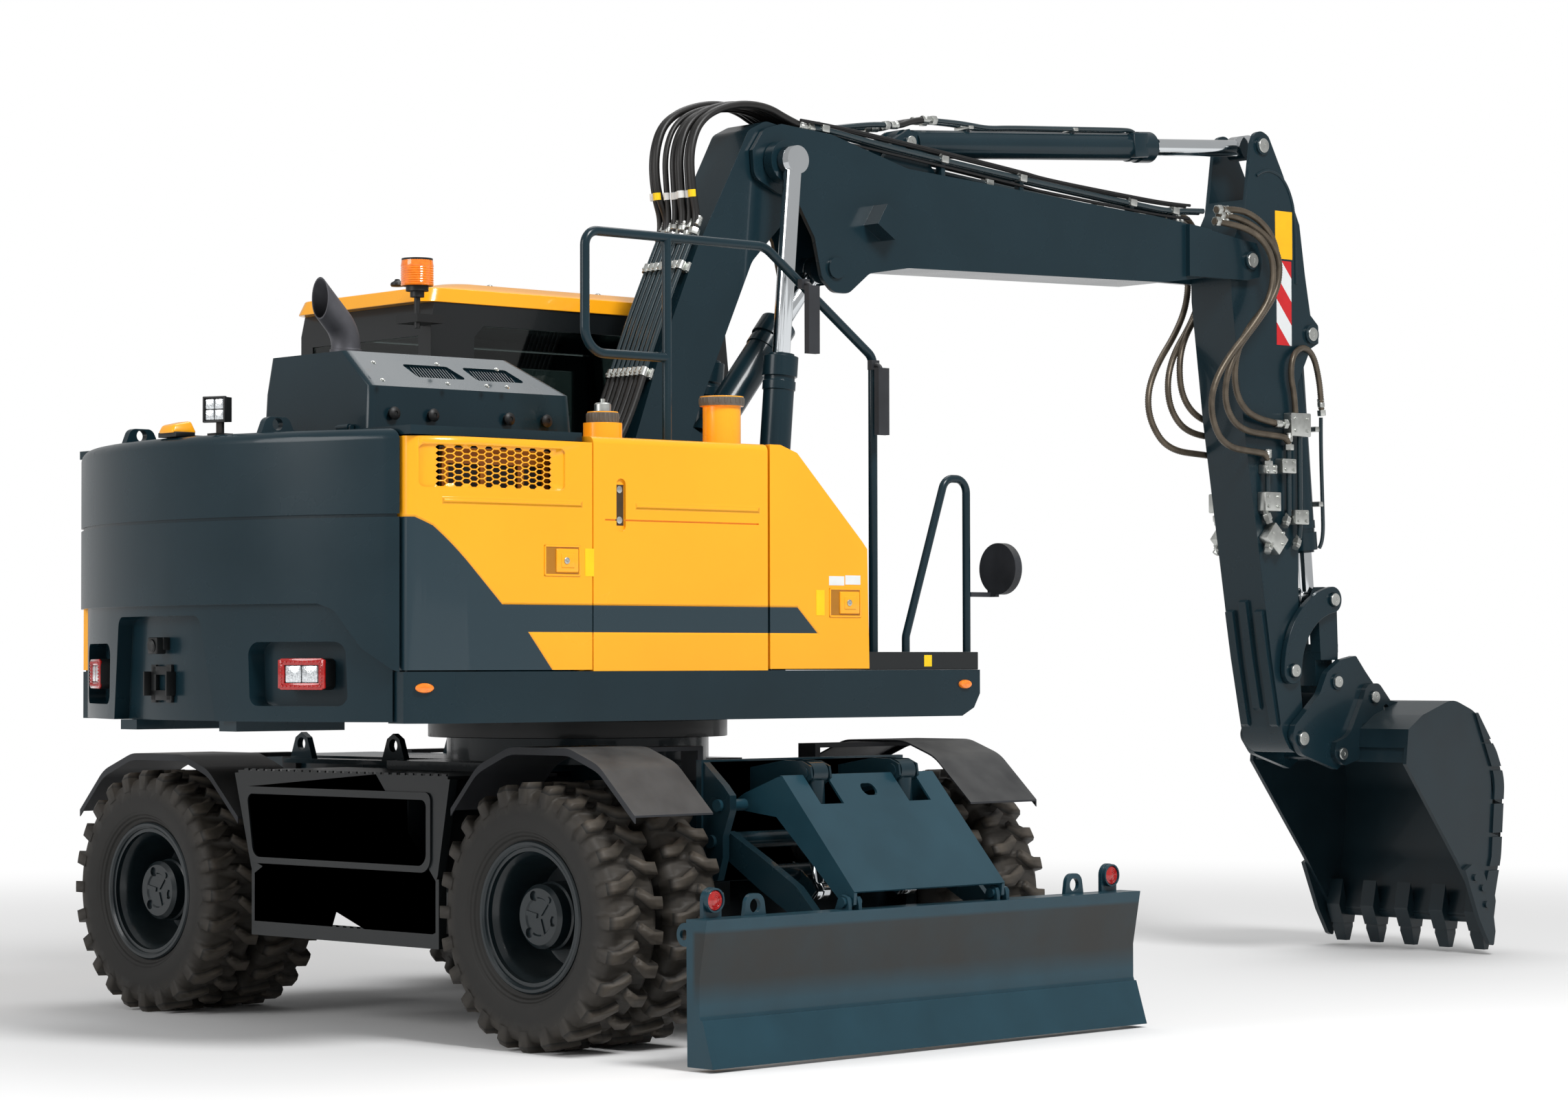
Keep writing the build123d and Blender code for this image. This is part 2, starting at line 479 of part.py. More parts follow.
def blade_links():
    a, b = BLADE_UP_A, BLADE_UP_B
    cheek = plate_xz([(a[0] + 36, a[1] - 20), (a[0] + 36, a[1] + 24), (a[0], a[1] + 44), (-1650, 1056),
                      (-1672, 1058), (b[0] - 32, b[1] + 34), (b[0] - 28, b[1] - 10), (b[0], b[1] - 28),
                      (b[0] + 30, b[1] - 10), (-1640, 900)], *CHEEK_Y)
    plate = plate_xz([(-1660, 1062), (-1672, 1062), (b[0] - 33, b[1] + 40), (b[0] - 22, b[1] + 34)],
                     -CHEEK_Y[1], CHEEK_Y[1])
    notch = block(-1800, -1600, BLADE_CYL_Y - 64, BLADE_CYL_Y + 64, 950, 1100)
    pins = joined(rod_y(*a, 24, CHEEK_Y[0], 580), rod_y(*b, 20, LUG_IN[0] - 12, LUG_OUT[1] + 12))
    slot = Location((-1800, 0, 1000)) * extrude(Plane.YZ * SlotOverall(80, 46), 160)
    keep("blade_cover", joined(plate - pair(notch) - slot, pair(cheek), pair(pins)))
    a, b = BLADE_LO_A, BLADE_LO_B
    arm = plate_xz([(a[0] + 34, a[1] - 30), (a[0] + 34, a[1] + 30), (a[0] - 40, a[1] + 40),
                    (-1660, 740), (-1840, 640), (b[0] - 10, b[1] + 42), (b[0] - 40, b[1] + 10),
                    (b[0] - 20, b[1] - 38), (b[0] + 20, b[1] - 38), (-1830, 520), (-1640, 620)], *ARM_Y)
    tie = rod_y(*a, 34, -ARM_Y[0], ARM_Y[0])
    tube = rod_y(-1600, 672, 42, -ARM_Y[0], ARM_Y[0])
    r = BLADE_CYL[1]
    ear = plate_xz([(-1600, 720), (r[0] - 10, r[1] + 36), (r[0] - 36, r[1]), (r[0], r[1] - 36),
                    (-1590, 625)], -5, 5)
    ears = joined(*[Location((0, BLADE_CYL_Y + s * (39 + GAP), 0)) * ear for s in (-1, 1)])
    pins = joined(rod_y(*a, 26, ARM_Y[1] - 1, 580), rod_y(*b, 26, LUG_IN[0] - 12, ARM_Y[1] + 12))
    keep("blade_arms", joined(tie, tube, pair(arm), pair(ears), pair(pins)))


def blade_cylinders():
    base, rod = BLADE_CYL
    length = hypot(rod[0] - base[0], rod[1] - base[1])
    tilt = degrees(atan2(rod[1] - base[1], rod[0] - base[0]))
    where = Location((base[0], BLADE_CYL_Y, base[1]), (0, 1, 0), -tilt)
    tube = joined(rod_x(0, 0, 42, 30, 255), rod_y(0, 0, 45, -40, 40))
    tube = tube - rod_x(0, 0, 25 + PIN_FIT, 48, 256) - rod_y(0, 0, 28 + PIN_FIT, -100, 100)
    bar = joined(rod_x(0, 0, 25, 215, length - 28), rod_y(length, 0, 36, -34, 34))
    keep("blade_cylinder_barrels", pair(where * tube))
    keep("blade_cylinder_rods", pair(where * bar))


# ---- upper structure -----------------------------------------------------------------------
def plan(inset, z0, z1):
    """Upper body seen from above, behind the swing axis: straight sides and a rounded tail."""
    reach = TAIL_R + 400
    sides = Pos(-reach / 2, 0) * Rectangle(reach, 2 * (HALF_W - inset))
    outline = Circle(TAIL_R - inset) & sides
    corners = [v for v in outline.vertices() if v.X < -TAIL_R / 2]
    outline = fillet(corners, CORNER_R - inset)
    return extrude(Plane.XY.offset(z0) * outline, z1 - z0)


def shell(x0, x1, z0, z1, thick):
    """Curved side panel on the right, cut from the upper body's outline."""
    wall = plan(0, z0, z1) - plan(thick, z0 - 1, z1 + 1)
    return wall & block(x0, x1, -HALF_W - 10, -700, z0, z1)


def upper_frame():
    floor = block(TAIL_SEAM + 20, 1000, -560, 560, 1300, 1330)
    disc = rod_z(0, 0, 600, RING_TOP + SEAT, 1301)
    at = Location((*BOOM_AT, 0))
    inner = FOOT_HALF + GAP
    cheek = plate_xz([(-900, 1320), (-900, 1500), (-200, 1760), (40, 1880), (200, 1880), (420, 1640),
                      (780, 1582), (870, 1560), (900, 1500), (960, 1320)], inner, inner + CHEEK_T)
    outside = CYL_Y + 35 + GAP
    lug = plate_xz([(600, 1320), (720, 1540), (790, 1582), (850, 1582), (884, 1530), (960, 1320)],
                   outside, outside + CHEEK_T)
    base = CYLINDERS["boom_cylinder"][0]
    reach = inner + CHEEK_T
    outer_pin = rod_y(*base, TIP_PIN_R, inner, outside + CHEEK_T + 8)
    pins = joined(rod_y(*BOOM_FOOT, FOOT_PIN_R, -reach, reach), pair(outer_pin))
    side = [(TAIL_SEAM + 4, SIDE_LOW), (1080, SIDE_LOW), (1150, 1310), (FRONT_END, 1370), (FRONT_END, SKIRT_TOP),
            (TAIL_SEAM + 4, SKIRT_TOP)]
    ahead = plate_xz(side, HALF_W - 60, HALF_W) - block(-3000, -100, 0, 2000, 0, 3000)
    behind = shell(TAIL_SEAM + 4, -99, SIDE_LOW, SKIRT_TOP, 60)
    skirt = joined(mirrored(ahead), behind)
    rail = joined(block(TAIL_SEAM - 260, TAIL_SEAM + 245, 300, 420, 1240, SIDE_LOW + 5 - SEAT),
                  block(TAIL_SEAM + 45, TAIL_SEAM + 245, 300, 420, 1250, 1301))
    bulkheads = [block(TAIL_SEAM + 30, TAIL_SEAM + 45, -1040, 1040, 1320, DECK_Z - 20 - SEAT),
                 block(-945, -930, -1150, 560, 1320, DECK_Z - 20 - SEAT)]
    hinges = [rod_z(x, y, HINGE_R, SKIRT_TOP - 5, SKIRT_TOP + 50)
              for x, y in (HINGE_REAR, (HINGE_REAR[0], -HINGE_REAR[1]), HINGE_FRONT)]
    cross = [block(x - 15, x + 15, -HALF_W + 30, HALF_W - 30, 1300, 1420)
             for x in (TAIL_SEAM + 245, -300, 520, 985)]
    body = joined(floor, disc, at * pair(cheek), at * pair(lug), at * pins, pair(skirt), pair(rail))
    keep("upper_frame", joined(body, *cross, *bulkheads, *hinges), UPPER)


def counterweight():
    """Cast tail with a ledge low round its back, a lamp pocket each side and a recess between."""
    z0, z1 = SIDE_LOW + 5, DECK_Z + 5
    tail = block(-2500, TAIL_SEAM - GAP, -1400, 1400, 0, 4000)
    body = plan(0, z0, z1) & tail
    body = fillet([e for e in body.edges() if e.center().Z > z1 - 1 and e.center().X < TAIL_SEAM - 40], 45)
    rim = plan(-20, z0 - 1, z1)
    # outline in y and z, how far it is sunk below the skin, rounded corners
    sunk = (
        ([(-1300, 1440), (-1130, 1470), (-1010, 1560), (-905, 1705), (-840, 1730), (1300, 1730), (1300, z0 - 1),
          (-1300, z0 - 1)], 28, ((1, 90), (2, 60), (3, 60), (4, 40))),
        ([(-230, 1690), (400, 1690), (450, z0 - 1), (-330, z0 - 1)], 95, ((0, 45), (1, 45))),
        ([(-935, 1340), (-925, 1585), (-500, 1585), (-510, 1340)], 100, ((0, 40), (1, 50), (2, 50), (3, 40))),
        ([(935, 1340), (925, 1585), (500, 1585), (510, 1340)], 100, ((0, 40), (1, 50), (2, 50), (3, 40))),
        ([(-1300, 2054), (1300, 2054), (1300, 2066), (-1300, 2066)], 10, ()),
    )
    for points, depth, rounds in sunk:
        body = body - ((rim - plan(depth, z0 - 2, z1 + 1)) & plate_yz(points, -2500, -1500, rounds))
    for y in (-560, 420):
        eye = plate_xz([(-1985, z1 - 1), (-1960, z1 + 62), (-1860, z1 + 62), (-1830, z1 - 1)], y, y + 34,
                       ((1, 34), (2, 34)))
        body = body + (eye - rod_y(-1910, z1 + 34, 24, y - 1, y + 40))
    keep("counterweight", body, UPPER)


def engine_bay():
    """Engine, the deck over it and the hood, which turns up about pins behind its rear edge."""
    keep("engine", block(HOOD_X - 410, HOOD_X + 190, -560, 300, 1420 + SEAT, 2150), UPPER)
    deck = joined(block(TAIL_SEAM + 8, TANK_REAR - 6, 60 - HALF_W, HALF_W - 60, DECK_Z - 20, HOOD_LOW - SEAT),
                  block(TANK_REAR - 7, CAB_REAR - 12, -540, HALF_W - 60, DECK_Z - 20, HOOD_LOW - SEAT))
    hood = loft([Plane.XY.offset(HOOD_LOW) * Pos(HOOD_X, HOOD_Y) * RectangleRounded(1000, 740, 30),
                 Plane.XY.offset(2575) * Pos(HOOD_X - 4, HOOD_Y) * RectangleRounded(976, 732, 30),
                 Plane.XY.offset(2722) * Pos(HOOD_X - 72, HOOD_Y + 96) * RectangleRounded(800, 520, 30)],
                ruled=True)
    slope = Location((0, HOOD_Y - 264, 2652), (1, 0, 0), 37)
    for x in (HOOD_X + 70, HOOD_X - 220):
        vent = extrude(outline([(x, -48), (x + 240, -48), (x + 190, 44), (x - 30, 44)],
                               ((0, 14), (1, 14), (2, 14), (3, 14))), 40, both=True)
        hood = hood - (slope * (vent & block(x - 100, x + 300, -60, 60, -16, 40)))
        bars = [block(x + 12 + 14 * i, x + 16 + 14 * i, -50, 46, -18, -10) for i in range(14)]
        hood = hood + [slope * bar for bar in bars]
    x, z = HINGE_HOOD
    for y in (HOOD_Y - 220, HOOD_Y + 220):
        barrel = joined(rod_y(x, z, 14, y - 35, y + 35), block(x, x + 25, y - 35, y + 35, z - 8, z + 8))
        hood = hood + (barrel - rod_y(x, z, HINGE_R + PIN_FIT, y - 36, y + 36))
        deck = joined(deck, rod_y(x, z, HINGE_R, y - 50, y + 50))
        for side in (y - 52, y + 42):
            ear = joined(rod_y(x, z, 10, side, side + 10), block(x - 10, x + 4, side, side + 10, HOOD_LOW - 1, z))
            deck = joined(deck, ear)
    keep("engine_deck", deck, UPPER)
    keep("hood", hood, UPPER)
    x, y = HOOD_X - 20, 50
    route = [(x, y, HOOD_LOW), (x, y, 2860), (x - 210, y, 3080)]
    stack = joined(bent_tube(route, [150], 60), rod_z(x, y, 66, HOOD_LOW, 2790))
    inside = bent_tube([(x, y, HOOD_LOW + 40), *route[1:]], [150], 55)
    keep("exhaust", stack - inside - block(x - 400, x - 128, y - 100, y + 100, 2700, 3200), UPPER)


def grille(skin):
    """Panel with a sunk field of long hexagons, open to the radiators behind it."""
    x0, x1 = DOOR_REAR + 42, TANK_REAR - 136
    z, tall = 2248.0, 163.0
    zone = extrude(Plane.XZ * Pos((x0 + x1) / 2, z) * RectangleRounded(x1 - x0, tall, 22), 1500)
    face = plan(-20, z - 200, z + 200) - plan(9, z - 201, z + 201)
    back = plan(15, z - 200, z + 200) - plan(60, z - 201, z + 201)
    hexagon = outline([(-20, 0), (-11, 9), (11, 9), (20, 0), (11, -9), (-11, -9)])
    cell = extrude(Plane.XZ * hexagon, 1500)
    holes = []
    count = int((x1 - x0 - 56) / 70)
    first = (x0 + x1) / 2 - 35 * (count - 1)
    for row in range(-6, 7):
        odd = row % 2
        for column in range(count - odd):
            holes.append(Pos(first + 35 * odd + 70 * column, 0, z + 11.5 * row) * cell)
    return skin - (face & zone) - (back & zone) - holes


def side_panels():
    z0 = SKIRT_TOP + GAP
    hole = rod_z(HINGE_REAR[0], -HINGE_REAR[1], HINGE_R + PIN_FIT, z0 - 1, z0 + 60)
    skin = shell(DOOR_REAR, TANK_REAR - 3, z0, DECK_Z - 26, PANEL_T) - hole
    keep("door_rear_right", grille(skin), UPPER)
    tank = block(TANK_REAR + 3, TANK_FRONT - 2, -HALF_W, -560, SKIRT_TOP + SEAT, DECK_Z)
    tank = fillet([e for e in tank.edges() if e.center().Z > DECK_Z - 1 and e.center().Y < -HALF_W + 50], 30)
    caps = joined(rod_z(-48, -1010, 78, DECK_Z - 1, 2550), rod_z(-48, -1010, 90, 2548, 2588))
    caps = joined(caps, rod_z(-670, -1010, 78, DECK_Z - 1, 2455), rod_z(-670, -1010, 62, 2450, 2500))
    latch = extrude(Plane.XZ * Pos(-770, 2119) * SlotOverall(208, 46, rotation=90), 12)
    seam = block(-850, TANK_FRONT - 50, -HALF_W - 1, -HALF_W + 7, 2057, 2063)
    tank = tank - Location((0, -HALF_W + 11, 0)) * latch - seam
    keep("fuel_tank", joined(tank, caps), UPPER)
    front = plate_xz([(DOOR_FRONT, z0), (548, z0), (537, 1970), (510, 2000), (151, 2355), (60, DECK_Z),
                      (DOOR_FRONT, DECK_Z)], -HALF_W, -HALF_W + PANEL_T)
    front = front - rod_z(*HINGE_FRONT, HINGE_R + PIN_FIT, z0 - 1, z0 + 60)
    nose = plate_xz([(TANK_FRONT + 4, z0), (540, z0), (530, 1960), (145, 2345), (55, DECK_Z - 8),
                     (TANK_FRONT + 4, DECK_Z - 8)], -HALF_W + PANEL_T + 2 * GAP, -620)
    box = block(548 + GAP, FRONT_END - 2, -HALF_W + 8, -620, SKIRT_TOP + SEAT, STEP_TOP)
    keep("door_front_right", front, UPPER)
    keep("front_step_box", joined(box, nose, block(535, 565, -HALF_W + 60, -620, z0, STEP_TOP)), UPPER)
    wide = shell(DOOR_REAR, CAB_REAR - 60, z0, DECK_Z - 26, PANEL_T) - hole
    keep("door_rear_left", mirrored(grille(wide)), UPPER)


# ---- cab -----------------------------------------------------------------------------------
DOOR = (-340.0, 1010.0, 1546.0, 2950.0)     # doorway: rear, front, low and top


def cab():
    profile = [(CAB_REAR, SKIRT_TOP + SEAT), (1090, SKIRT_TOP + SEAT), (CAB_FRONT, 1600), (CAB_FRONT, 2250),
               (1060, CAB_TOP), (CAB_REAR + 20, CAB_TOP), (CAB_REAR, 2950)]
    body = plate_xz(profile, CAB_IN, CAB_OUT)
    w = CAB_WALL
    room = plate_xz([(CAB_REAR + w, SKIRT_TOP + 60), (1050, SKIRT_TOP + 60), (CAB_FRONT - w, 1640),
                     (CAB_FRONT - w, 2240), (1010, CAB_TOP - 50), (CAB_REAR + w + 20, CAB_TOP - 50),
                     (CAB_REAR + w, 2920)], CAB_IN + w, CAB_OUT - w)
    right = plate_xz([(-350, 2400), (900, 2400), (900, 2900), (860, 2950), (-300, 2950), (-350, 2900)],
                     CAB_IN - 1, CAB_IN + w + 1)
    behind = block(CAB_REAR - 1, CAB_REAR + w + 1, CAB_IN + 90, CAB_OUT - 90, 2400, 2900)
    ahead = block(900, CAB_FRONT + 1, CAB_IN + 75, CAB_OUT - 75, 1700, 2960)
    doorway = block(DOOR[0], DOOR[1], CAB_OUT - w - 1, CAB_OUT + 1, DOOR[2], DOOR[3])
    middle, width = (CAB_IN + CAB_OUT) / 2, CAB_OUT - CAB_IN
    roof = loft([Plane.XY.offset(CAB_TOP + SEAT) * Pos(250, middle) * RectangleRounded(1760, width + 20, 90),
                 Plane.XY.offset(CAB_TOP + 62) * Pos(255, middle) * RectangleRounded(1720, width - 10, 90),
                 Plane.XY.offset(CAB_TOP + 96) * Pos(300, middle) * RectangleRounded(1400, width - 170, 90)],
                ruled=True)
    keep("cab_roof", roof, UPPER)
    hinge = rod_z(*HINGE_CAB, HINGE_R, DOOR[2] - 5, DOOR[2] + 60)
    keep("cab_shell", joined(body - room - right - behind - ahead - doorway, hinge), UPPER)
    panes = [
        plate_xz([(-349, 2401), (899, 2401), (899, 2899), (859, 2949), (-301, 2949), (-349, 2899)],
                 CAB_IN + 8, CAB_IN + 14),
        block(CAB_REAR + 8, CAB_REAR + 14, CAB_IN + 91, CAB_OUT - 91, 2401, 2899),
        plate_xz([(CAB_FRONT - 14, 1701), (CAB_FRONT - 8, 1701), (CAB_FRONT - 8, 2250), (1064, 2959),
                  (1058, 2959), (CAB_FRONT - 14, 2250)], CAB_IN + 76, CAB_OUT - 76),
    ]
    keep("cab_glass", pieces(*panes), UPPER)
    leaf = block(DOOR[0] + 10, DOOR[1] - GAP, CAB_OUT - 45, CAB_OUT, DOOR[2] + GAP, DOOR[3] - GAP)
    leaf = leaf - rod_z(*HINGE_CAB, HINGE_R + PIN_FIT, DOOR[2], DOOR[2] + 70)
    light = block(DOOR[0] + 70, DOOR[1] - 70, CAB_OUT - 50, CAB_OUT + 1, 1960, DOOR[3] - 80)
    keep("cab_door", leaf - light, UPPER)
    glass = block(DOOR[0] + 71, DOOR[1] - 71, CAB_OUT - 16, CAB_OUT - 10, 1961, DOOR[3] - 81)
    keep("cab_door_glass", glass, UPPER)
    floor = SKIRT_TOP + 60 + SEAT
    seat = joined(block(130, 620, 500, 1000, 1900, 2010), block(80, 200, 510, 990, 1950, 2640),
                  block(220, 540, 620, 880, floor, 1901))
    column = joined(block(840, 960, 660, 840, floor, 2150), rod_z(860, 750, 190, 2150, 2185))
    keep("cab_interior", pieces(seat, column), UPPER)


def platform_rails():
    y = -HALF_W + 60
    loop = bent_tube([(810, y, STEP_TOP + SEAT), (810, y, 1610), (1040, y, 2280), (1165, y, 2280),
                      (1165, y, STEP_TOP + SEAT)], [60, 60, 60], 17)
    yr = -1120.0
    rail = bent_tube([(690, yr, STEP_TOP + SEAT), (690, yr, 2780), (90, yr, 3205), (-847, yr, 3205),
                      (-847, yr, 2722), (-430, yr, 2722)], [60, 120, 60, 100], 19)
    post = rod_z(-430, yr, 19, DECK_Z + SEAT, 3200)
    keep("handrails", pieces(loop, joined(rail, post)), UPPER)
    glass = rod_x(-HALF_W + 10, 1900, 110, 1300, 1340)
    stay = joined(block(1165 + 17 + SEAT, 1320, y - 10, y + 10, 1780, 1800),
                  block(1300, 1320, -HALF_W + 20, y + 10, 1780, 1900))
    made = [joined(glass, stay)]
    # x and z of the clamp on the rail, z of the mirror's middle
    for x, z, middle in ((276, 3060, 2930), (665, 2745, 2610)):
        out = yr - 19 - SEAT
        clamp = block(x - 22, x + 22, out - 26, out, z - 20, z + 20)
        tube = bent_tube([(x, out - 14, z), (x, out - 60, z), (x, out - 60, middle)], [30], 9)
        made.append(joined(clamp, tube, block(x - 30, x + 30, out - 78, out - 50, middle - 160, middle + 120)))
    keep("mirrors", pieces(*made), UPPER)


def lamps():
    """Beacon on its post, work lamp on the tail, tail lamps and side markers."""
    x, y = CAB_REAR - 122, CAB_IN - 72
    light = joined(rod_z(x, y, 66, 3092, 3208), rod_z(x, y, 48, 3070, 3093), rod_z(x, y, 30, 3045, 3071))
    post = joined(rod_z(x, y, 13, 2915, 3046), block(x - 16, CAB_REAR - SEAT, y - 22, CAB_IN + 60, 2940, 2975))
    beacon = joined(light, post)
    top = DECK_Z + 5 + SEAT
    foot = joined(block(-2030, -1950, -310, -250, top, top + 8), block(-1996, -1984, -300, -260, top + 7, top + 60))
    work = joined(foot, Location((-2000, -280, top + 100), (0, 0, 1), 25) * Box(46, 96, 96))
    made = [beacon, work]
    for side in (-1, 1):
        turn = 180 - side * 21.2
        at = Location((0, 0, 1462), (0, 0, 1), turn) * Location((TAIL_R - 100 + SEAT, 0, 0))
        body = fillet((Pos(34, 0, 0) * Box(68, 216, 122)).edges().filter_by(Axis.X), 26)
        made.append(at * body)
    out = CORNER_X - 178
    lean = degrees(atan2(CORNER_X - out, sqrt(CORNER_R ** 2 - (CORNER_X - out) ** 2)))
    for x, turn in ((out, lean), (FRONT_END - 91, 0)):
        y = -side_y(x, -SEAT)
        amber = extrude(Plane.XZ * Ellipse(32, 16), 9)
        made.append(Location((x, y, 1409), (0, 0, 1), -turn) * amber)
        made.append(Location((x, -y, 1409), (0, 0, 1), turn) * mirrored(amber))
    keep("lamps", pieces(*made), UPPER)


# ---- boom, arm and bucket ------------------------------------------------------------------
def boss(pin, r, y0, y1):
    """A boss on each side of the centre plane."""
    return pair(rod_y(*pin, r, y0, y1))


def lugs(points, y0, y1, rounds=()):
    return pair(plate_xz(points, y0, y1, rounds))


def boom_lower():
    side = [(30, 1690), (20, 1780), (120, 2200), (340, 2800), (560, 3300), (780, 3700),
               (860, 3850), (960, 3900), (1080, 3880), (1175, 3780), (1180, 3650), (1090, 3480),
               (880, 3270), (610, 2690), (400, 2200), (240, 1850), (215, 1720), (120, 1650)]
    rounds = ((5, 160), (6, 60), (7, 70), (8, 70), (9, 70), (10, 70), (12, 120))
    body = plate_xz(side, -LOWER_HALF, LOWER_HALF, rounds)
    base = CYLINDERS["adjust_cylinder"][0]
    inner = EYE_HALF + GAP
    ears = lugs([(430, 2260), (base[0], base[1] - 55), (base[0] + 55, base[1]), (base[0] + 10, base[1] + 55),
                 (540, 2540)], inner, inner + 30)
    body = joined(body, ears, rod_y(*base, EYE_PIN_R, -inner - 38, inner + 38))
    body = bore(joined(body, boss(BOOM_FOOT, 95, LOWER_HALF - 1, FOOT_HALF)), BOOM_FOOT, FOOT_PIN_R)
    end = CYL_Y - 35 - GAP
    pin = rod_y(*ELBOW, ELBOW_PIN_R, -end, end)
    keep("boom_lower", joined(body, pin, boss(ELBOW, 92, BOOM_HALF + GAP, end)), BOOM)


def boom_upper():
    tip = ARM_PIN[0] - 280
    side = [(870, 3640), (860, 3760), (930, 3860), (1030, 3890), (1330, 3870), (1800, 3755),
               (3500, 3660), (tip, 3630), (tip, 3390), (3500, 3345), (1800, 3300), (1560, 3260),
               (1430, 3160), (1340, 3160), (1270, 3220), (1225, 3400), (1120, 3560), (1010, 3580)]
    body = plate_xz(side, -BOOM_HALF, BOOM_HALF, ((0, 60), (2, 60), (5, 200), (10, 140), (11, 70), (12, 70),
                                                     (13, 70), (14, 60)))
    inside = BOOM_HALF - SIDE_PLATE
    throat = plate_xz([(600, 3000), (1510, 3000), (1510, 3700), (1330, 3960), (600, 3960)], -inside, inside)
    body = bore(body - throat, ELBOW, ELBOW_PIN_R)
    base = CYLINDERS["arm_cylinder"][0]
    inner = EYE_HALF + GAP
    ears = lugs([(1680, 3770), (1780, 3900), (base[0], base[1] + 62), (base[0] + 70, 3860), (2060, 3730)],
                inner, inner + 28)
    x, z = ARM_PIN
    fork = lugs([(tip - 160, 3640), (x - 60, z + 100), (x + 50, z + 90), (x + 95, z + 10), (x + 70, z - 80),
                 (x - 20, z - 100), (tip - 160, 3385)], FORK_IN, FORK_OUT)
    web = plate_xz([(tip - 160, 3640), (tip, 3625), (tip, 3392), (tip - 160, 3385)], -FORK_OUT, FORK_OUT)
    pins = joined(rod_y(*base, EYE_PIN_R, -inner - 38, inner + 38), rod_y(*ARM_PIN, ARM_PIN_R, -FORK_OUT - 16,
                                                                        FORK_OUT + 16))
    cap = boss(CYLINDERS["adjust_cylinder"][1], 48, BOOM_HALF - 1, BOOM_HALF + 14)
    tray = Box(124, 96, 112) - Pos(0, 0, 8) * Box(112, 84, 112)
    tray = Location((1606, -BOOM_HALF - 47, 3490), (0, 1, 0), 32) * tray
    keep("boom_upper", joined(body, ears, fork, web, pins, cap, tray), BOOM)


def arm():
    half = ARM_HALF
    top, base = CYLINDERS["arm_cylinder"][1], CYLINDERS["bucket_cylinder"][0]
    side = [(4160, 4080), (4185, 4135), (4235, 4155), (4290, 4130), (4400, 3940), (4520, 3700),
               (4560, 3450), (4600, 3250), (4660, 3200), (4660, 3110), (4600, 3080), (4500, 2900),
               (4495, 1500), (4535, 1150), (4520, 1065), (4470, 1040), (4420, 1065), (4370, 1130),
               (4290, 1520), (4090, 2700), (4010, 3300), (4005, 3560), (4110, 3740)]
    rounds = ((1, 40), (2, 60), (3, 50), (4, 90), (8, 20), (13, 40), (14, 40), (15, 40), (17, 200))
    body = plate_xz(side, -half, half, rounds)
    gap = half - SIDE_PLATE
    body = body - plate_xz([(4000, 3800), (4330, 3800), (4600, 3920), (4600, 4300), (4000, 4300)], -gap, gap)
    body = body - plate_xz([(4500, 2860), (4500, 3200), (4560, 3320), (4750, 3320), (4750, 2860)], -gap, gap)
    body = bore(bore(body, ARM_PIN, ARM_PIN_R), ARM_TIP, TIP_PIN_R)
    heads = joined(boss(top, 45, half - 1, half + 14), boss(base, 48, half - 1, half + 14))
    pins = joined(rod_y(*base, EYE_PIN_R, -gap - 5, gap + 5),
                  rod_y(*ROCKER_PIN, EYE_PIN_R, -FORK_OUT - 8, FORK_OUT + 8))
    # wear bars on the face towards the cab: middle, low and high end
    bars = []
    for y, low, high in ((-96.0, 1171.0, 1763.0), (0.0, 1254.0, 1812.0), (96.0, 1171.0, 1763.0)):
        ends = ((4370 - 0.205 * (low - 1130), low), (4290, 1520), (4290 - 0.1695 * (high - 1520), high))
        sunk = [(x + 3, z) for x, z in ends]
        proud = [(x - 20, z + lift) for (x, z), lift in zip(ends, (14, 0, -14))]
        bars.append(plate_xz(sunk + proud[::-1], y - 24, y + 24))
    keep("arm", joined(body, heads, pins) + bars, BOOM)


def bucket_linkage():
    """Two curved rocker plates from the arm, and the link from them to the coupler."""
    v, u, w = ROCKER_PIN, LINK_TOP, LINK_LOW
    bow = ThreePointArc(v, ((u[0] + v[0]) / 2 - 66, (u[1] + v[1]) / 2 + 56), u)
    plate = Location((0, FORK_IN + 30, 0)) * extrude(Plane.XZ * SlotArc(bow, 132), 30, dir=(0, -1, 0))
    keep("bucket_rocker", pair(bore(bore(plate, v, EYE_PIN_R), u, EYE_PIN_R)), BOOM)
    y0, y1 = EYE_HALF + 2 * GAP, ARM_HALF - GAP
    sides = lugs([(u[0] - 70, u[1]), (u[0] - 30, u[1] + 65), (u[0] + 40, u[1] + 60), (u[0] + 75, u[1]),
                  (w[0] + 68, w[1] + 150), (w[0] - 68, w[1] + 150)], y0, y1)
    low = plate_xz([(w[0] - 68, w[1] + 190), (w[0] + 68, w[1] + 190), (w[0] + 60, w[1] - 20),
                    (w[0] + 28, w[1] - 56), (w[0] - 28, w[1] - 56), (w[0] - 60, w[1] - 20)], -y1, y1)
    low = low - pair(block(w[0] - 100, w[0] + 100, 92, 200, w[1] - 100, w[1] + 110))
    keep("bucket_link", joined(sides, low, boss(u, EYE_PIN_R, y0, FORK_OUT + 6)), BOOM)


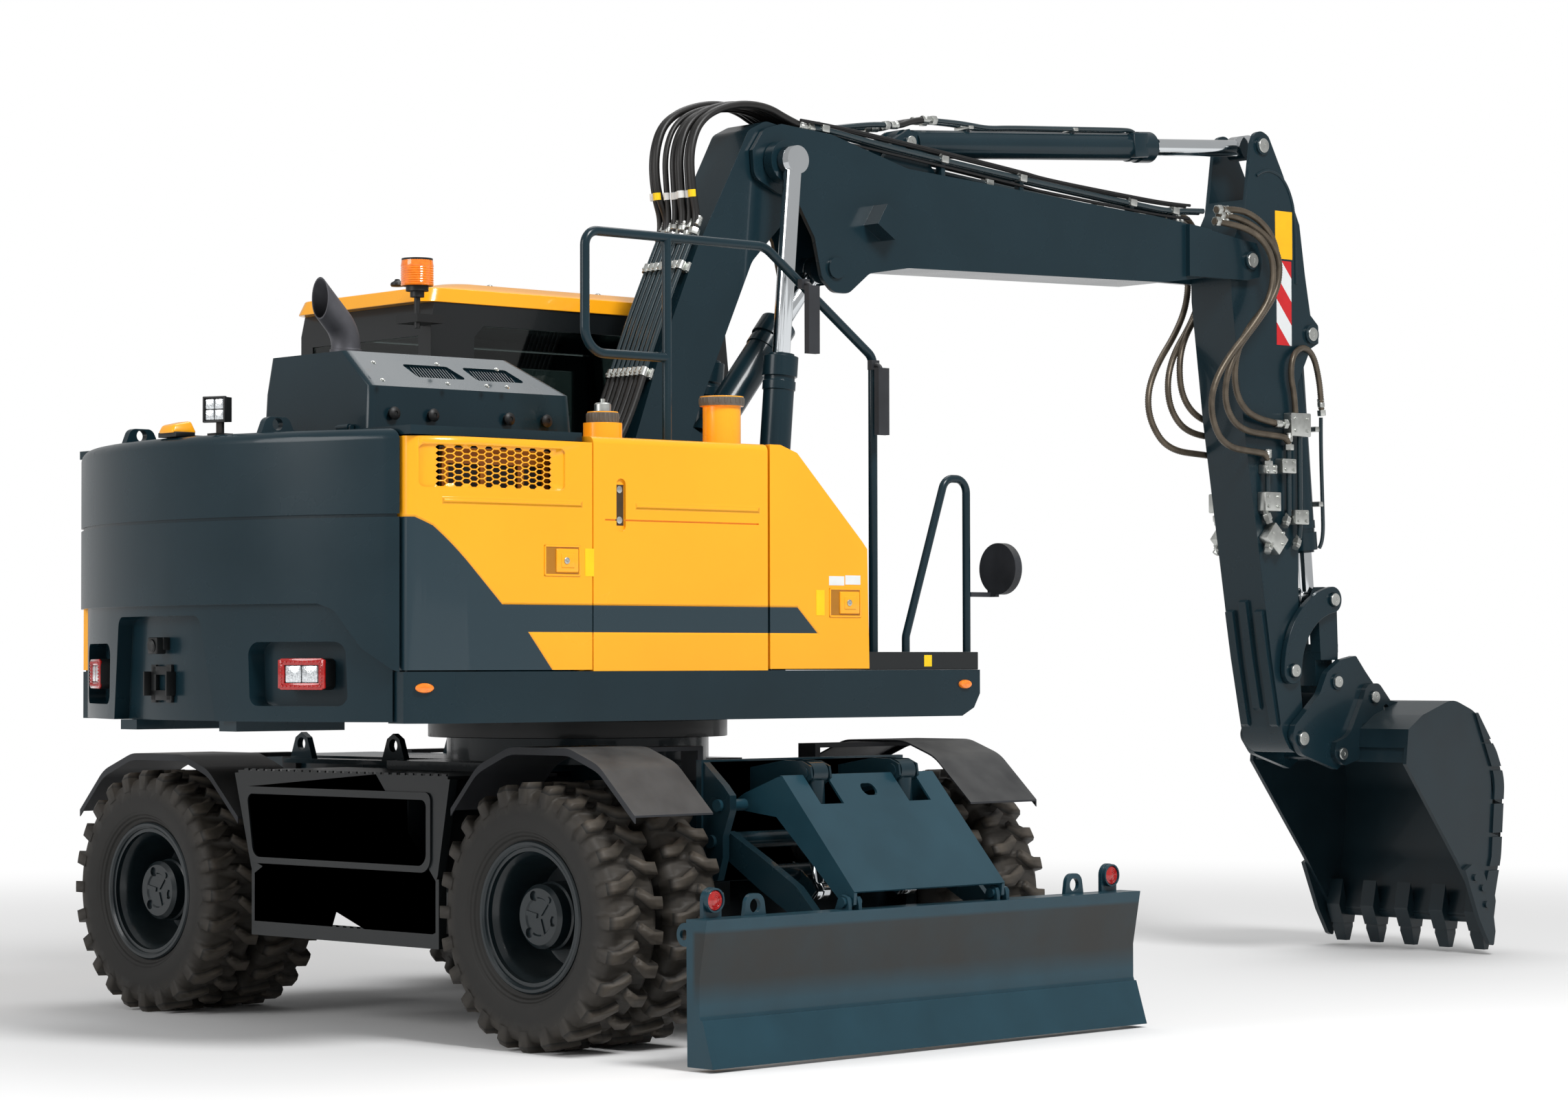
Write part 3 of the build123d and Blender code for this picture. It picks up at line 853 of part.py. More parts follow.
def coupler():
    """Quick coupler: two side plates with the hooks for the bucket's pins."""
    q, w, a, b = ARM_TIP, LINK_LOW, BUCKET_PIN_A, BUCKET_PIN_B
    side = [(q[0] - 75, q[1] + 10), (q[0] - 50, q[1] + 70), (w[0] - 130, w[1] - 60), (w[0] - 70, w[1] + 50),
            (w[0] + 30, w[1] + 110), (w[0] + 150, w[1] + 132), (w[0] + 225, w[1] + 50), (b[0] + 62, b[1] + 40),
            (b[0] + 60, b[1] - 55), (b[0] - 20, b[1] - 68), (a[0] + 90, a[1] + 105), (a[0] + 70, a[1] - 40),
            (a[0], a[1] - 80), (q[0], q[1] - 80)]
    sides = lugs(side, FORK_IN, FORK_OUT, ((0, 50), (1, 30), (2, 110), (3, 60), (5, 18), (6, 18), (8, 40),
                                           (10, 70), (11, 40), (13, 60)))
    pins = joined(rod_y(*q, TIP_PIN_R, -FORK_OUT - 10, FORK_OUT + 10), boss(w, 40, FORK_OUT - 1, FORK_OUT + 10))
    bridge = plate_xz([(a[0] - 40, a[1] - 20), (a[0] - 20, a[1] + 40), (b[0] - 40, b[1] + 10),
                       (b[0] + 20, b[1] + 25), (b[0] + 10, b[1] - 10), (a[0] - 5, a[1] - 10)],
                      -FORK_IN - 1, FORK_IN + 1)
    body = bore(bore(joined(sides, bridge), a, BUCKET_PIN_R), b, BUCKET_PIN_R)
    keep("coupler", joined(body, pins), BOOM)


def bucket():
    """Digging bucket: rolled back, side plates, torsion box under the ears, and five teeth."""
    half = BUCKET_HALF
    side = [(4880, 1160), (4990, 1230), (5230, 1310), (5420, 1240), (5570, 1040), (5635, 900), (5600, 500),
            (5510, 160), (5250, 500), (4860, 985)]
    hollow = [(4895, 1135), (5000, 1205), (5228, 1285), (5405, 1222), (5550, 1030), (5612, 895),
              (5575, 500), (5490, 190), (5330, 120), (4800, 880)]
    rolled = ((2, 160), (3, 190), (4, 190), (5, 260), (6, 400))
    body = plate_xz(side, -half, half, rolled) - plate_xz(hollow, -half + 22, half - 22, rolled)
    box = plate_xz([(4872, 992), (4888, 1150), (4985, 1205), (5000, 1160), (4985, 1015)], -half, half)
    lip = plate_xz([(5488, 205), (5512, 160), (5560, 330), (5536, 340)], -half, half)
    # strips welded outside the side plates along the rolled back, with a gap between each
    band = plate_xz([(5400, 1235), (5420, 1238), (5568, 1040), (5632, 900), (5598, 500), (5525, 225),
                     (5450, 300), (5520, 500), (5555, 900), (5500, 1020)], half - 1, half + 12,
                    ((2, 190), (3, 260), (4, 400), (8, 260), (9, 190)))
    cuts = [block(5470, 5700, half - 2, half + 20, z, z + 22) for z in (430, 600, 770, 940, 1080)]
    cutter = plate_xz([(5290, 440), (5350, 470), (5440, 420), (5500, 300), (5530, 120), (5515, 45), (5480, 60),
                       (5400, 190)], half, half + 26, ((1, 25), (2, 40), (5, 12)))
    bolts = [rod_y(x, z, 17, half + 25, half + 38) for x, z in ((5365, 400), (5425, 345), (5455, 260))]
    sides = (band - cuts) + [cutter, *bolts]
    teeth = []
    for i in range(5):
        y = (half - 62) * (i - 2) / 2
        adapter = plate_xz([(5470, 350), (5440, 215), (5478, 118), (5560, 118), (5590, 270), (5572, 350),
                            (5545, 330), (5520, 220), (5500, 225)], y - 44, y + 44, ((1, 20), (4, 20)))
        nose = loft([Plane.XY.offset(128) * Pos(5520, y) * Rectangle(76, 74),
                     Plane.XY.offset(96) * Pos(5519, y) * Rectangle(68, 82),
                     Plane.XY.offset(24) * Pos(5524, y) * Rectangle(30, 64)], ruled=True)
        teeth += [adapter, nose]
    a, b = BUCKET_PIN_A, BUCKET_PIN_B
    y0 = FORK_OUT + SEAT
    ears = lugs([(a[0] - 62, a[1] - 10), (a[0] - 40, a[1] + 58), (a[0] + 60, a[1] + 90), (b[0] - 85, b[1] - 10),
                 (b[0] - 55, b[1] + 62), (b[0] + 40, b[1] + 72), (5120, 1300), (5200, 1290), (4900, 1180),
                 (4890, 1010), (a[0] + 20, a[1] - 62)], y0, y0 + 30, ((0, 40), (2, 120), (3, 60), (4, 50),
                                                                      (5, 50), (10, 50)))
    ears = ears - rod_y(5085, 1262, 20, -half, half)
    pins = [rod_y(*pin, BUCKET_PIN_R, -y0 - 40, y0 + 40) for pin in (a, b)]
    keep("bucket", joined(body, box, lip, pair(sides), ears) + [*teeth, *pins], BOOM)


# ---- hydraulic cylinders -------------------------------------------------------------------
def cylinders():
    for name, (base, rod, tube_r, rod_r, tube_end, eye_r, eye_half, spare, places) in CYLINDERS.items():
        length = hypot(rod[0] - base[0], rod[1] - base[1])
        tilt = degrees(atan2(rod[1] - base[1], rod[0] - base[0]))
        pin_r = TIP_PIN_R if name == "boom_cylinder" else EYE_PIN_R
        start = eye_r + 24
        head = joined(rod_x(0, 0, tube_r + 10, tube_end - 90, tube_end),
                      rod_x(0, 0, tube_r + 5, tube_end - 150, tube_end - 110),
                      rod_x(0, 0, tube_r - 8, tube_end - 1, tube_end + 12))
        tube = joined(rod_x(0, 0, tube_r, start, tube_end), head,
                      block(30, start + 1, -eye_half, eye_half, -eye_r + 8, eye_r - 8),
                      rod_y(0, 0, eye_r, -eye_half, eye_half))
        tube = tube - rod_x(0, 0, rod_r + PIN_FIT, start + 12, tube_end + 13)
        tube = bore(tube, (0, 0), pin_r)
        bar = joined(rod_x(0, 0, rod_r, start + spare + 20, length - eye_r + 10),
                     rod_y(length, 0, eye_r, -eye_half, eye_half))
        barrels, rods = [], []
        for y in places:
            where = Location((base[0], y, base[1]), (0, 1, 0), -tilt)
            barrels.append(where * tube)
            rods.append(where * bar)
        keep(f"{name}_barrel", joined(*barrels), BOOM)
        keep(f"{name}_rod", joined(*rods), BOOM)


wheels()
rear_axle()
front_axle()
knuckle()
steering()
driveline()
carrier_frame()
step_boxes()
mudguards()
blade()
blade_links()
blade_cylinders()
upper_frame()
counterweight()
engine_bay()
side_panels()
cab()
platform_rails()
lamps()
boom_lower()
boom_upper()
arm()
bucket_linkage()
coupler()
bucket()
cylinders()
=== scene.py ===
"""Wheeled excavator on twin tyres, dressed for the render.

Sizes are millimetres in three frames with Z up: the carrier's (x to the steered axle, y to its
left), the upper structure's (x ahead along the boom, y to its left), both from the swing axis on
the ground, and the boom plane's, which the boom, arm and bucket share.
"""
import json
import math
import random

import bmesh
import bpy
from mathutils import Matrix, Vector


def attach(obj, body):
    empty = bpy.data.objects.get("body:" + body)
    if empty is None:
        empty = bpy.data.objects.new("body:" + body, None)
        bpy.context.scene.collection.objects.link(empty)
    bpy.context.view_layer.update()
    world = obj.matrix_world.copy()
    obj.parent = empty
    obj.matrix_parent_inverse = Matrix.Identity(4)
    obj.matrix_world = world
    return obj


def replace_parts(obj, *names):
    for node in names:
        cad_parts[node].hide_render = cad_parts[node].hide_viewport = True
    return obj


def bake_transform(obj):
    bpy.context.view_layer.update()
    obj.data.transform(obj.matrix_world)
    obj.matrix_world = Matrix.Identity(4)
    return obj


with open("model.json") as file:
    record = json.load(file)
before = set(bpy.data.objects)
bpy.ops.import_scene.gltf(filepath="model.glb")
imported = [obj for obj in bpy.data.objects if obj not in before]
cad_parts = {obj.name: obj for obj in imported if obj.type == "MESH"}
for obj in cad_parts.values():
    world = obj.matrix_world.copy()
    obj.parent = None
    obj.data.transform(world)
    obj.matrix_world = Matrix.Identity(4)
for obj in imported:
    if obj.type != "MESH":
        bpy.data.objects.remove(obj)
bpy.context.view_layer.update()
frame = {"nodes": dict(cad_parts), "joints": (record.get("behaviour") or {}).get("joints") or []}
joints = {joint["name"]: joint for joint in frame["joints"]}

# ---- the three frames ----------------------------------------------------------------------
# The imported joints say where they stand: the swing axis, and the boom's foot pin, whose axis
# also gives the turn of the upper structure on its slew ring.
MM = 0.001
swing = Vector(joints["swing"]["pos_m"])
foot = Vector(joints["boom_lift"]["pos_m"])
across = joints["boom_lift"]["axis"]
turned = Matrix.Rotation(math.atan2(-across[0], across[1]), 4, "Z")
scaled = Matrix.Scale(MM, 4)
CARRIER = Matrix.Translation((swing.x, swing.y, 0)) @ scaled
UPPER = Matrix.Translation((swing.x, swing.y, 0)) @ turned @ scaled
BOOM = Matrix.Translation(foot) @ turned @ Matrix.Translation((-0.120, 0, -1.750)) @ scaled

# ---- camera --------------------------------------------------------------------------------
# A long lens near eye height, off the rear left corner of the carrier.
camera = bpy.data.objects.new("camera", bpy.data.cameras.new("camera"))
bpy.context.scene.collection.objects.link(camera)
bpy.context.scene.camera = camera
heading, pitch, roll = math.radians(-44.8607), math.radians(1.5721), math.radians(-0.1295)
camera.location = (-12.1261, 12.6117, 1.5033)
look = Matrix.Rotation(heading - math.pi / 2, 4, "Z") @ Matrix.Rotation(math.pi / 2 + pitch, 4, "X")
camera.rotation_euler = (look @ Matrix.Rotation(roll, 4, "Z")).to_euler()
camera.data.sensor_width = 36.0
camera.data.lens = 87.18
camera.data.clip_end = 200.0


# ---- floor, light and world ----------------------------------------------------------------
# A seamless pale studio floor, one large soft key lamp high on the right of the camera, a fill
# on its left, a third lamp overhead and an even white surround.
def linear(hex_colour):
    """Linear RGBA of an sRGB hex value."""
    parts = [int(hex_colour[i:i + 2], 16) / 255 for i in (1, 3, 5)]
    return [c / 12.92 if c <= 0.04045 else ((c + 0.055) / 1.055) ** 2.4 for c in parts] + [1.0]


def add(tree, kind, values=None, links=None, **settings):
    """A node with its socket values, incoming links and settings."""
    made = tree.nodes.new(kind)
    for key, value in settings.items():
        setattr(made, key, value)
    for key, value in (values or {}).items():
        made.inputs[key].default_value = value
    for key, socket in (links or {}).items():
        tree.links.new(socket, made.inputs[key])
    return made


def spread(tree, value, start, end, low=0.0, high=1.0, **settings):
    """Goes from low, where the value is at start, to high, where it is at end."""
    limits = {"From Min": start, "From Max": end, "To Min": low, "To Max": high}
    return add(tree, "ShaderNodeMapRange", limits, {"Value": value}, **settings).outputs[0]


bpy.context.scene.view_settings.view_transform = "Standard"
world = bpy.data.worlds.new("studio")
bpy.context.scene.world = world
world.use_nodes = True
tree = world.node_tree
tree.nodes.clear()
path = add(tree, "ShaderNodeLightPath")
mirrored = add(tree, "ShaderNodeMath", {1: 0.08}, {0: path.outputs["Is Glossy Ray"]}, operation="MULTIPLY")
mirrored = add(tree, "ShaderNodeMath", {1: 0.42}, {0: mirrored.outputs[0]}, operation="ADD")
seen = add(tree, "ShaderNodeMath", links={0: path.outputs["Is Camera Ray"],
                                          1: path.outputs["Is Transmission Ray"]},
           operation="ADD", use_clamp=True)
level = add(tree, "ShaderNodeMath", links={0: mirrored.outputs[0], 1: seen.outputs[0]}, operation="ADD",
            use_clamp=True)
surround = add(tree, "ShaderNodeBackground", {"Color": (1, 1, 1, 1)}, {"Strength": level.outputs[0]})
add(tree, "ShaderNodeOutputWorld", links={"Surface": surround.outputs[0]})


def area_lamp(name, place, aim, size, watts):
    lamp = bpy.data.objects.new(name, bpy.data.lights.new(name, "AREA"))
    lamp.data.shape = "DISK"
    lamp.data.size = size
    lamp.data.energy = watts
    lamp.location = place
    lamp.rotation_euler = (Vector(aim) - Vector(place)).to_track_quat("-Z", "Y").to_euler()
    bpy.context.scene.collection.objects.link(lamp)


area_lamp("key", (-9.0, 3.0, 11.0), (0, 0.5, 1.5), 4.0, 1300)
area_lamp("fill", (2.0, 13.0, 6.0), (0, 0, 1.5), 6.0, 450)
area_lamp("top", (2.0, -2.0, 12.0), (0, 0, 1.0), 7.0, 380)

floor_mesh = bpy.data.meshes.new("floor")
floor_mesh.from_pydata([(-60, -60, 0), (60, -60, 0), (60, 60, 0), (-60, 60, 0)], [], [(0, 1, 2, 3)])
floor = bpy.data.objects.new("floor", floor_mesh)
bpy.context.scene.collection.objects.link(floor)
vinyl = bpy.data.materials.new("studio_vinyl")
vinyl.use_nodes = True
tree = vinyl.node_tree
vinyl_shader = tree.nodes["Principled BSDF"]
vinyl_shader.inputs["Base Color"].default_value = linear("#f0f0f0")
vinyl_shader.inputs["Roughness"].default_value = 0.8
vinyl_shader.inputs["Specular IOR Level"].default_value = 0.1
where = add(tree, "ShaderNodeTexCoord")
reach = add(tree, "ShaderNodeVectorMath", links={0: where.outputs["Object"]}, operation="LENGTH")
far = spread(tree, reach.outputs["Value"], 4.5, 12.0, interpolation_type="SMOOTHSTEP")
sky = add(tree, "ShaderNodeEmission", {"Color": (1, 1, 1, 1), "Strength": 1.0})
blend = add(tree, "ShaderNodeMixShader", links={0: far, 1: vinyl_shader.outputs[0], 2: sky.outputs[0]})
tree.links.new(blend.outputs[0], tree.nodes["Material Output"].inputs["Surface"])
floor.data.materials.append(vinyl)


# ---- enamelled steelwork -------------------------------------------------------------------
# The weldments are sheet and plate, shot blasted, primed and sprayed with a two-coat enamel
# that is stoved: a glossy skin with a fine orange peel and soft edges.
def surface(name, hex_colour, roughness, metal=0.0, coat=0.0, drift=(2.5, 0.08), grain=(250.0, 0.00008),
            dust=0.0, level=0.5):
    """Procedural finish: drift is scale per metre and share of tone, grain is scale and height in
    metres, dust is how much pale film lies on what faces up, level is the specular level."""
    made = bpy.data.materials.new(name)
    made.use_nodes = True
    tree = made.node_tree
    shader = tree.nodes["Principled BSDF"]
    shader.inputs["Metallic"].default_value = metal
    shader.inputs["Specular IOR Level"].default_value = level
    shader.inputs["Coat Weight"].default_value = coat
    shader.inputs["Coat Roughness"].default_value = 0.06
    where = add(tree, "ShaderNodeTexCoord")
    cloud = add(tree, "ShaderNodeTexNoise", {"Scale": drift[0], "Detail": 5.0},
                {"Vector": where.outputs["Object"]})
    tone = spread(tree, cloud.outputs["Fac"], 0.3, 0.7, 1 - drift[1], 1 + drift[1])
    colour = add(tree, "ShaderNodeVectorMath", {0: linear(hex_colour)[:3]}, {"Scale": tone},
                 operation="SCALE")
    last = colour.outputs[0]
    if dust:
        facing = add(tree, "ShaderNodeNewGeometry")
        up = add(tree, "ShaderNodeSeparateXYZ", links={0: facing.outputs["Normal"]})
        film = spread(tree, up.outputs["Z"], 0.4, 1.0, 0.0, dust)
        patch = add(tree, "ShaderNodeMath", links={0: film, 1: cloud.outputs["Fac"]}, operation="MULTIPLY")
        mixed = add(tree, "ShaderNodeMix", {7: linear("#8d8b84")}, {0: patch.outputs[0], 6: last},
                    data_type="RGBA")
        last = mixed.outputs[2]
    tree.links.new(last, shader.inputs["Base Color"])
    gloss = spread(tree, cloud.outputs["Fac"], 0.0, 1.0, max(roughness - 0.06, 0.02), roughness + 0.08)
    tree.links.new(gloss, shader.inputs["Roughness"])
    skin = add(tree, "ShaderNodeTexNoise", {"Scale": grain[0], "Detail": 2.0},
               {"Vector": where.outputs["Object"]})
    bump = add(tree, "ShaderNodeBump", {"Strength": 0.6, "Distance": grain[1]},
               {"Height": skin.outputs["Fac"]})
    tree.links.new(bump.outputs["Normal"], shader.inputs["Normal"])
    return made


def dress(node_names, material, edge=3.0, angle=35):
    """Gives CAD nodes their finish, and breaks their sharp edges by that many millimetres."""
    for name in node_names:
        piece = frame["nodes"][name]
        piece.data.materials.clear()
        piece.data.materials.append(material)
        mesh = piece.data
        mesh.normals_split_custom_set([(0, 0, 0)] * len(mesh.loops))
        mesh.polygons.foreach_set("use_smooth", [True] * len(mesh.polygons))
        weld = piece.modifiers.new("weld", "WELD")
        weld.merge_threshold = 0.00005
        flat = piece.modifiers.new("flat", "DECIMATE")
        flat.decimate_type = "DISSOLVE"
        flat.angle_limit = math.radians(0.5)
        if edge:
            bevel = piece.modifiers.new("edges", "BEVEL")
            bevel.width = edge * MM
            bevel.segments = 2
            bevel.limit_method = "ANGLE"
            bevel.angle_limit = math.radians(angle)
            bevel.miter_outer = "MITER_ARC"
            bevel.use_clamp_overlap = True
        normals = piece.modifiers.new("normals", "WEIGHTED_NORMAL")
        normals.keep_sharp = False
        normals.weight = 80


# Dark teal two-coat enamel: deep blue-green with a clear gloss that carries the sky.
teal = surface("dark_teal_enamel", "#12272f", 0.26, coat=0.16, dust=0.02, level=0.24)
dress(["carrier_frame", "blade_arms", "upper_frame", "counterweight", "engine_deck", "hood", "boom_lower",
       "boom_upper", "arm", "bucket_rocker", "bucket_link", "coupler", "tie_link_left", "tie_link_right",
       "boom_cylinder_barrel", "adjust_cylinder_barrel", "arm_cylinder_barrel", "bucket_cylinder_barrel",
       "blade_cylinder_barrels", "handrails"], teal)
# Axle castings: the same teal sprayed straight on rough cast iron, duller and pitted.
cast = surface("painted_casting", "#141f24", 0.5, drift=(6.0, 0.15), grain=(140.0, 0.0006), dust=0.12,
               level=0.3)
dress(["rear_axle", "front_axle", "knuckle_left", "knuckle_right", "driveline", "engine"], cast)
# Black chassis enamel on the slew ring and step boxes: almost black, satin. The cab's is glossier.
black = surface("black_chassis_enamel", "#15191b", 0.35, coat=0.15, drift=(3.0, 0.12), dust=0.05, level=0.35)
dress(["slew_ring", "step_boxes", "front_step_box"], black)
cab_paint = surface("cab_shell_enamel", "#101416", 0.3, coat=0.2, dust=0.04, level=0.4)
dress(["cab_shell", "cab_door"], cab_paint)

# ---- yellow panels -------------------------------------------------------------------------
# Pressed doors, tank and cab roof in chrome yellow enamel. A dark teal sweep runs from the
# counterweight along the right side, its edge pressed into the sheet, with two ribs above.
def combine(tree, how, *parts):
    """Joins sockets and numbers from the left, with a math node for each after the first."""
    last = parts[0]
    for part in parts[1:]:
        pair = dict(enumerate((last, part)))
        numbers = {key: value for key, value in pair.items() if isinstance(value, float)}
        sockets = {key: value for key, value in pair.items() if key not in numbers}
        last = add(tree, "ShaderNodeMath", numbers, sockets, operation=how).outputs[0]
    return last


def along(tree, axis, where, origin):
    """Distance in millimetres from the origin along an axis of one of the frames."""
    unit = axis.normalized()
    dot = add(tree, "ShaderNodeVectorMath", {1: tuple(unit * 1000)}, {0: where.outputs["Object"]},
              operation="DOT_PRODUCT")
    return combine(tree, "ADD", dot.outputs["Value"], -unit.dot(origin) * 1000)


def left_of(tree, x, z, a, b):
    """How far a point is to the left of the line from a to b, in millimetres."""
    dx, dz = b[0] - a[0], b[1] - a[1]
    size = math.hypot(dx, dz)
    sideways = combine(tree, "MULTIPLY", x, -dz / size)
    upward = add(tree, "ShaderNodeMath", {1: dx / size, 2: (dz * a[0] - dx * a[1]) / size}, {0: z},
                 operation="MULTIPLY_ADD")
    return combine(tree, "ADD", upward.outputs[0], sideways)


def repaint(tree, hex_colour, mask):
    """Lays a second colour over a finish where the mask is one."""
    base = tree.nodes["Principled BSDF"].inputs["Base Color"]
    mixed = add(tree, "ShaderNodeMix", {7: linear(hex_colour)}, {0: mask, 6: base.links[0].from_socket},
                data_type="RGBA")
    tree.links.new(mixed.outputs[2], base)


def emboss(tree, relief, strength, depth):
    """Adds a relief over the finish's own grain; depth is in metres."""
    normal = tree.nodes["Principled BSDF"].inputs["Normal"]
    bump = add(tree, "ShaderNodeBump", {"Strength": strength, "Distance": depth},
               {"Height": relief, "Normal": normal.links[0].from_socket})
    tree.links.new(bump.outputs["Normal"], normal)


# Chrome yellow: strong warm yellow, high gloss, hardly any texture.
yellow = surface("chrome_yellow_enamel", "#fcab18", 0.24, coat=0.3, drift=(1.5, 0.03), dust=0.06, level=0.4)
dress(["fuel_tank", "door_front_right", "door_rear_right", "cab_roof", "door_rear_left"], yellow, 4.0)
# The open hexagons of the rear doors keep the edges they were cut with.
for name in ("door_rear_right", "door_rear_left"):
    for kind in ("flat", "edges"):
        frame["nodes"][name].modifiers.remove(frame["nodes"][name].modifiers[kind])
swept = surface("yellow_enamel_with_teal_sweep", "#fcab18", 0.24, coat=0.3, drift=(1.5, 0.03), level=0.4)
tree = swept.node_tree
where = tree.nodes["Texture Coordinate"]
origin = Vector((swing.x, swing.y, 0))
side_x = along(tree, turned @ Vector((1, 0, 0)), where, origin)
side_y = along(tree, turned @ Vector((0, 1, 0)), where, origin)
height = along(tree, Vector((0, 0, 1)), where, origin)


def past(a, b):
    """How far a point of the right side is to the left of the line from a to b."""
    return left_of(tree, side_x, height, a, b)


steep = combine(tree, "MINIMUM", past((-1386, 1760), (-1651, 2021)), past((-1651, 2021), (-1706, 2052)),
                past((-1706, 2054), (-1800, 2055)))
band = combine(tree, "MINIMUM", past((150, 1726), (-1329, 1726)), past((258, 1622), (150, 1726)))
strip = combine(tree, "MINIMUM", past((300, 1621), (-1300, 1621)), past((-1218, 1610), (-1110, 1475)))
not_strip = combine(tree, "MULTIPLY", strip, -1.0)
outer = combine(tree, "LESS_THAN", side_y, -1000.0)
sweep_at = combine(tree, "MINIMUM", combine(tree, "MAXIMUM", steep, band), not_strip)
repaint(tree, "#1d323b", combine(tree, "MULTIPLY", combine(tree, "GREATER_THAN", sweep_at, 0.0), outer))
press = spread(tree, sweep_at, -9.0, 5.0, 1.0, 0.0, interpolation_type="SMOOTHSTEP")
rib_z = add(tree, "ShaderNodeMath", links={0: combine(tree, "ADD", height, -2117.0)}, operation="ABSOLUTE")
rib_z = combine(tree, "SUBTRACT", 15.0, rib_z.outputs[0])
first = combine(tree, "MINIMUM", rib_z, past((-960, 2000), (-960, 2200)), past((-1620, 2200), (-1620, 2000)))
second = combine(tree, "MINIMUM", rib_z, past((-50, 2000), (-50, 2200)), past((-700, 2200), (-700, 2000)))
rib = spread(tree, combine(tree, "MAXIMUM", first, second), 0.0, 13.0, 0.0, 1.3,
             interpolation_type="SMOOTHSTEP")
emboss(tree, combine(tree, "ADD", press, rib), 1.0, 0.006)
for name in ("fuel_tank", "door_front_right", "door_rear_right"):
    frame["nodes"][name].data.materials[0] = swept


# ---- mudguards and other moulded black parts -----------------------------------------------
# Rotomoulded black polyethylene: charcoal with a fine pebble, greyer where the sun has dried it.
# The charcoal itself is lightened as a painted sheen, standing for the shine on the mudguards' sides.
plastic = surface("moulded_polyethylene", "#26282c", 0.55, drift=(7.0, 0.25), grain=(420.0, 0.0005),
                  dust=0.35,
                  level=0.4)
dress(["mudguards", "mirrors"], plastic, 2.0)
# Bare black plastic on the lamps: darker and smoother than the mudguards.
tread = surface("bare_black_plastic", "#101213", 0.45, drift=(9.0, 0.15), grain=(300.0, 0.0002), level=0.4)
dress(["lamps"], tread, 2.0)

# ---- tyres ---------------------------------------------------------------------------------
# Cross-ply tyres of filled rubber: smooth dark brown-black walls, and lugs scuffed grey-brown
# on their worn faces with soil dried in the grooves between them.
for place, joint in (("rear_left", "wheel_rear_left_spin"), ("rear_right", "wheel_rear_right_spin"),
                     ("front_left", "wheel_front_left_spin"), ("front_right", "wheel_front_right_spin")):
    rubber = surface("tyre_rubber_" + place, "#1f1e1c", 0.6, drift=(5.0, 0.18), grain=(180.0, 0.0004),
                     level=0.35)
    tree = rubber.node_tree
    where = tree.nodes["Texture Coordinate"]
    axle = Vector(joints[joint]["pos_m"])
    radial = add(tree, "ShaderNodeVectorMath", {1: tuple(-axle)}, {0: where.outputs["Object"]},
                 operation="ADD")
    flat = add(tree, "ShaderNodeVectorMath", {1: (1, 0, 1)}, {0: radial.outputs[0]}, operation="MULTIPLY")
    radius = add(tree, "ShaderNodeVectorMath", links={0: flat.outputs[0]}, operation="LENGTH")
    out_by = radius.outputs["Value"]
    scuff = spread(tree, out_by, 0.500, 0.519, 0.0, 0.75)
    soil = spread(tree, out_by, 0.40, 0.488, 0.0, 0.35)
    soil = combine(tree, "MULTIPLY", soil, combine(tree, "LESS_THAN", out_by, 0.497))
    cloud = add(tree, "ShaderNodeTexNoise", {"Scale": 14.0, "Detail": 5.0},
                {"Vector": where.outputs["Object"]})
    worn = combine(tree, "MAXIMUM", scuff, soil)
    repaint(tree, "#6b6257", combine(tree, "MULTIPLY", worn, cloud.outputs["Fac"]))
    # moulded rings on the wall, near the rim
    rings = add(tree, "ShaderNodeMath", links={0: combine(tree, "MULTIPLY", out_by, 420.0)}, operation="SINE")
    emboss(tree, combine(tree, "MULTIPLY", rings.outputs[0], spread(tree, out_by, 0.345, 0.33)), 0.5, 0.002)
    dress(["tyres_" + place], rubber, 0)

# ---- rims ----------------------------------------------------------------------------------
# Twin steel rims, disc and hub in a thin teal-black paint under a film of dust.
rim_paint = surface("rim_enamel", "#121c20", 0.3, coat=0.15, drift=(8.0, 0.2), grain=(160.0, 0.0003),
                    dust=0.08,
                    level=0.4)
dress(["wheel_rear_left", "wheel_rear_right", "wheel_front_left", "wheel_front_right"], rim_paint, 2.0)

# ---- hydraulic rods, exhaust and glass -----------------------------------------------------
# Hard chrome on the rods: a mirror with a trace of grinding. The stack is aluminised steel
# gone dull grey with heat. Panes are dark tinted safety glass.
chrome = surface("hard_chrome", "#d9dde0", 0.08, metal=1.0, drift=(3.0, 0.03), grain=(900.0, 0.00001))
dress(["boom_cylinder_rod", "adjust_cylinder_rod", "arm_cylinder_rod", "bucket_cylinder_rod",
       "blade_cylinder_rods", "steering_rods"], chrome, 0)
stack = surface("heat_dulled_steel", "#55555a", 0.5, metal=0.6, drift=(9.0, 0.25), grain=(200.0, 0.0003))
dress(["exhaust"], stack, 2.0)
glass = bpy.data.materials.new("tinted_safety_glass")
glass.use_nodes = True
tree = glass.node_tree
shader = tree.nodes["Principled BSDF"]
shader.inputs["Transmission Weight"].default_value = 1.0
shader.inputs["IOR"].default_value = 1.45
where = add(tree, "ShaderNodeTexCoord")
haze = add(tree, "ShaderNodeTexNoise", {"Scale": 4.0, "Detail": 4.0}, {"Vector": where.outputs["Object"]})
film = spread(tree, haze.outputs["Fac"], 0.0, 1.0, 0.01, 0.05)
tree.links.new(film, shader.inputs["Roughness"])
tint = add(tree, "ShaderNodeMix", {6: linear("#4b5755"), 7: linear("#5a6664")}, {0: haze.outputs["Fac"]},
           data_type="RGBA")
tree.links.new(tint.outputs[2], shader.inputs["Base Color"])
dress(["cab_glass", "cab_door_glass"], glass, 0)
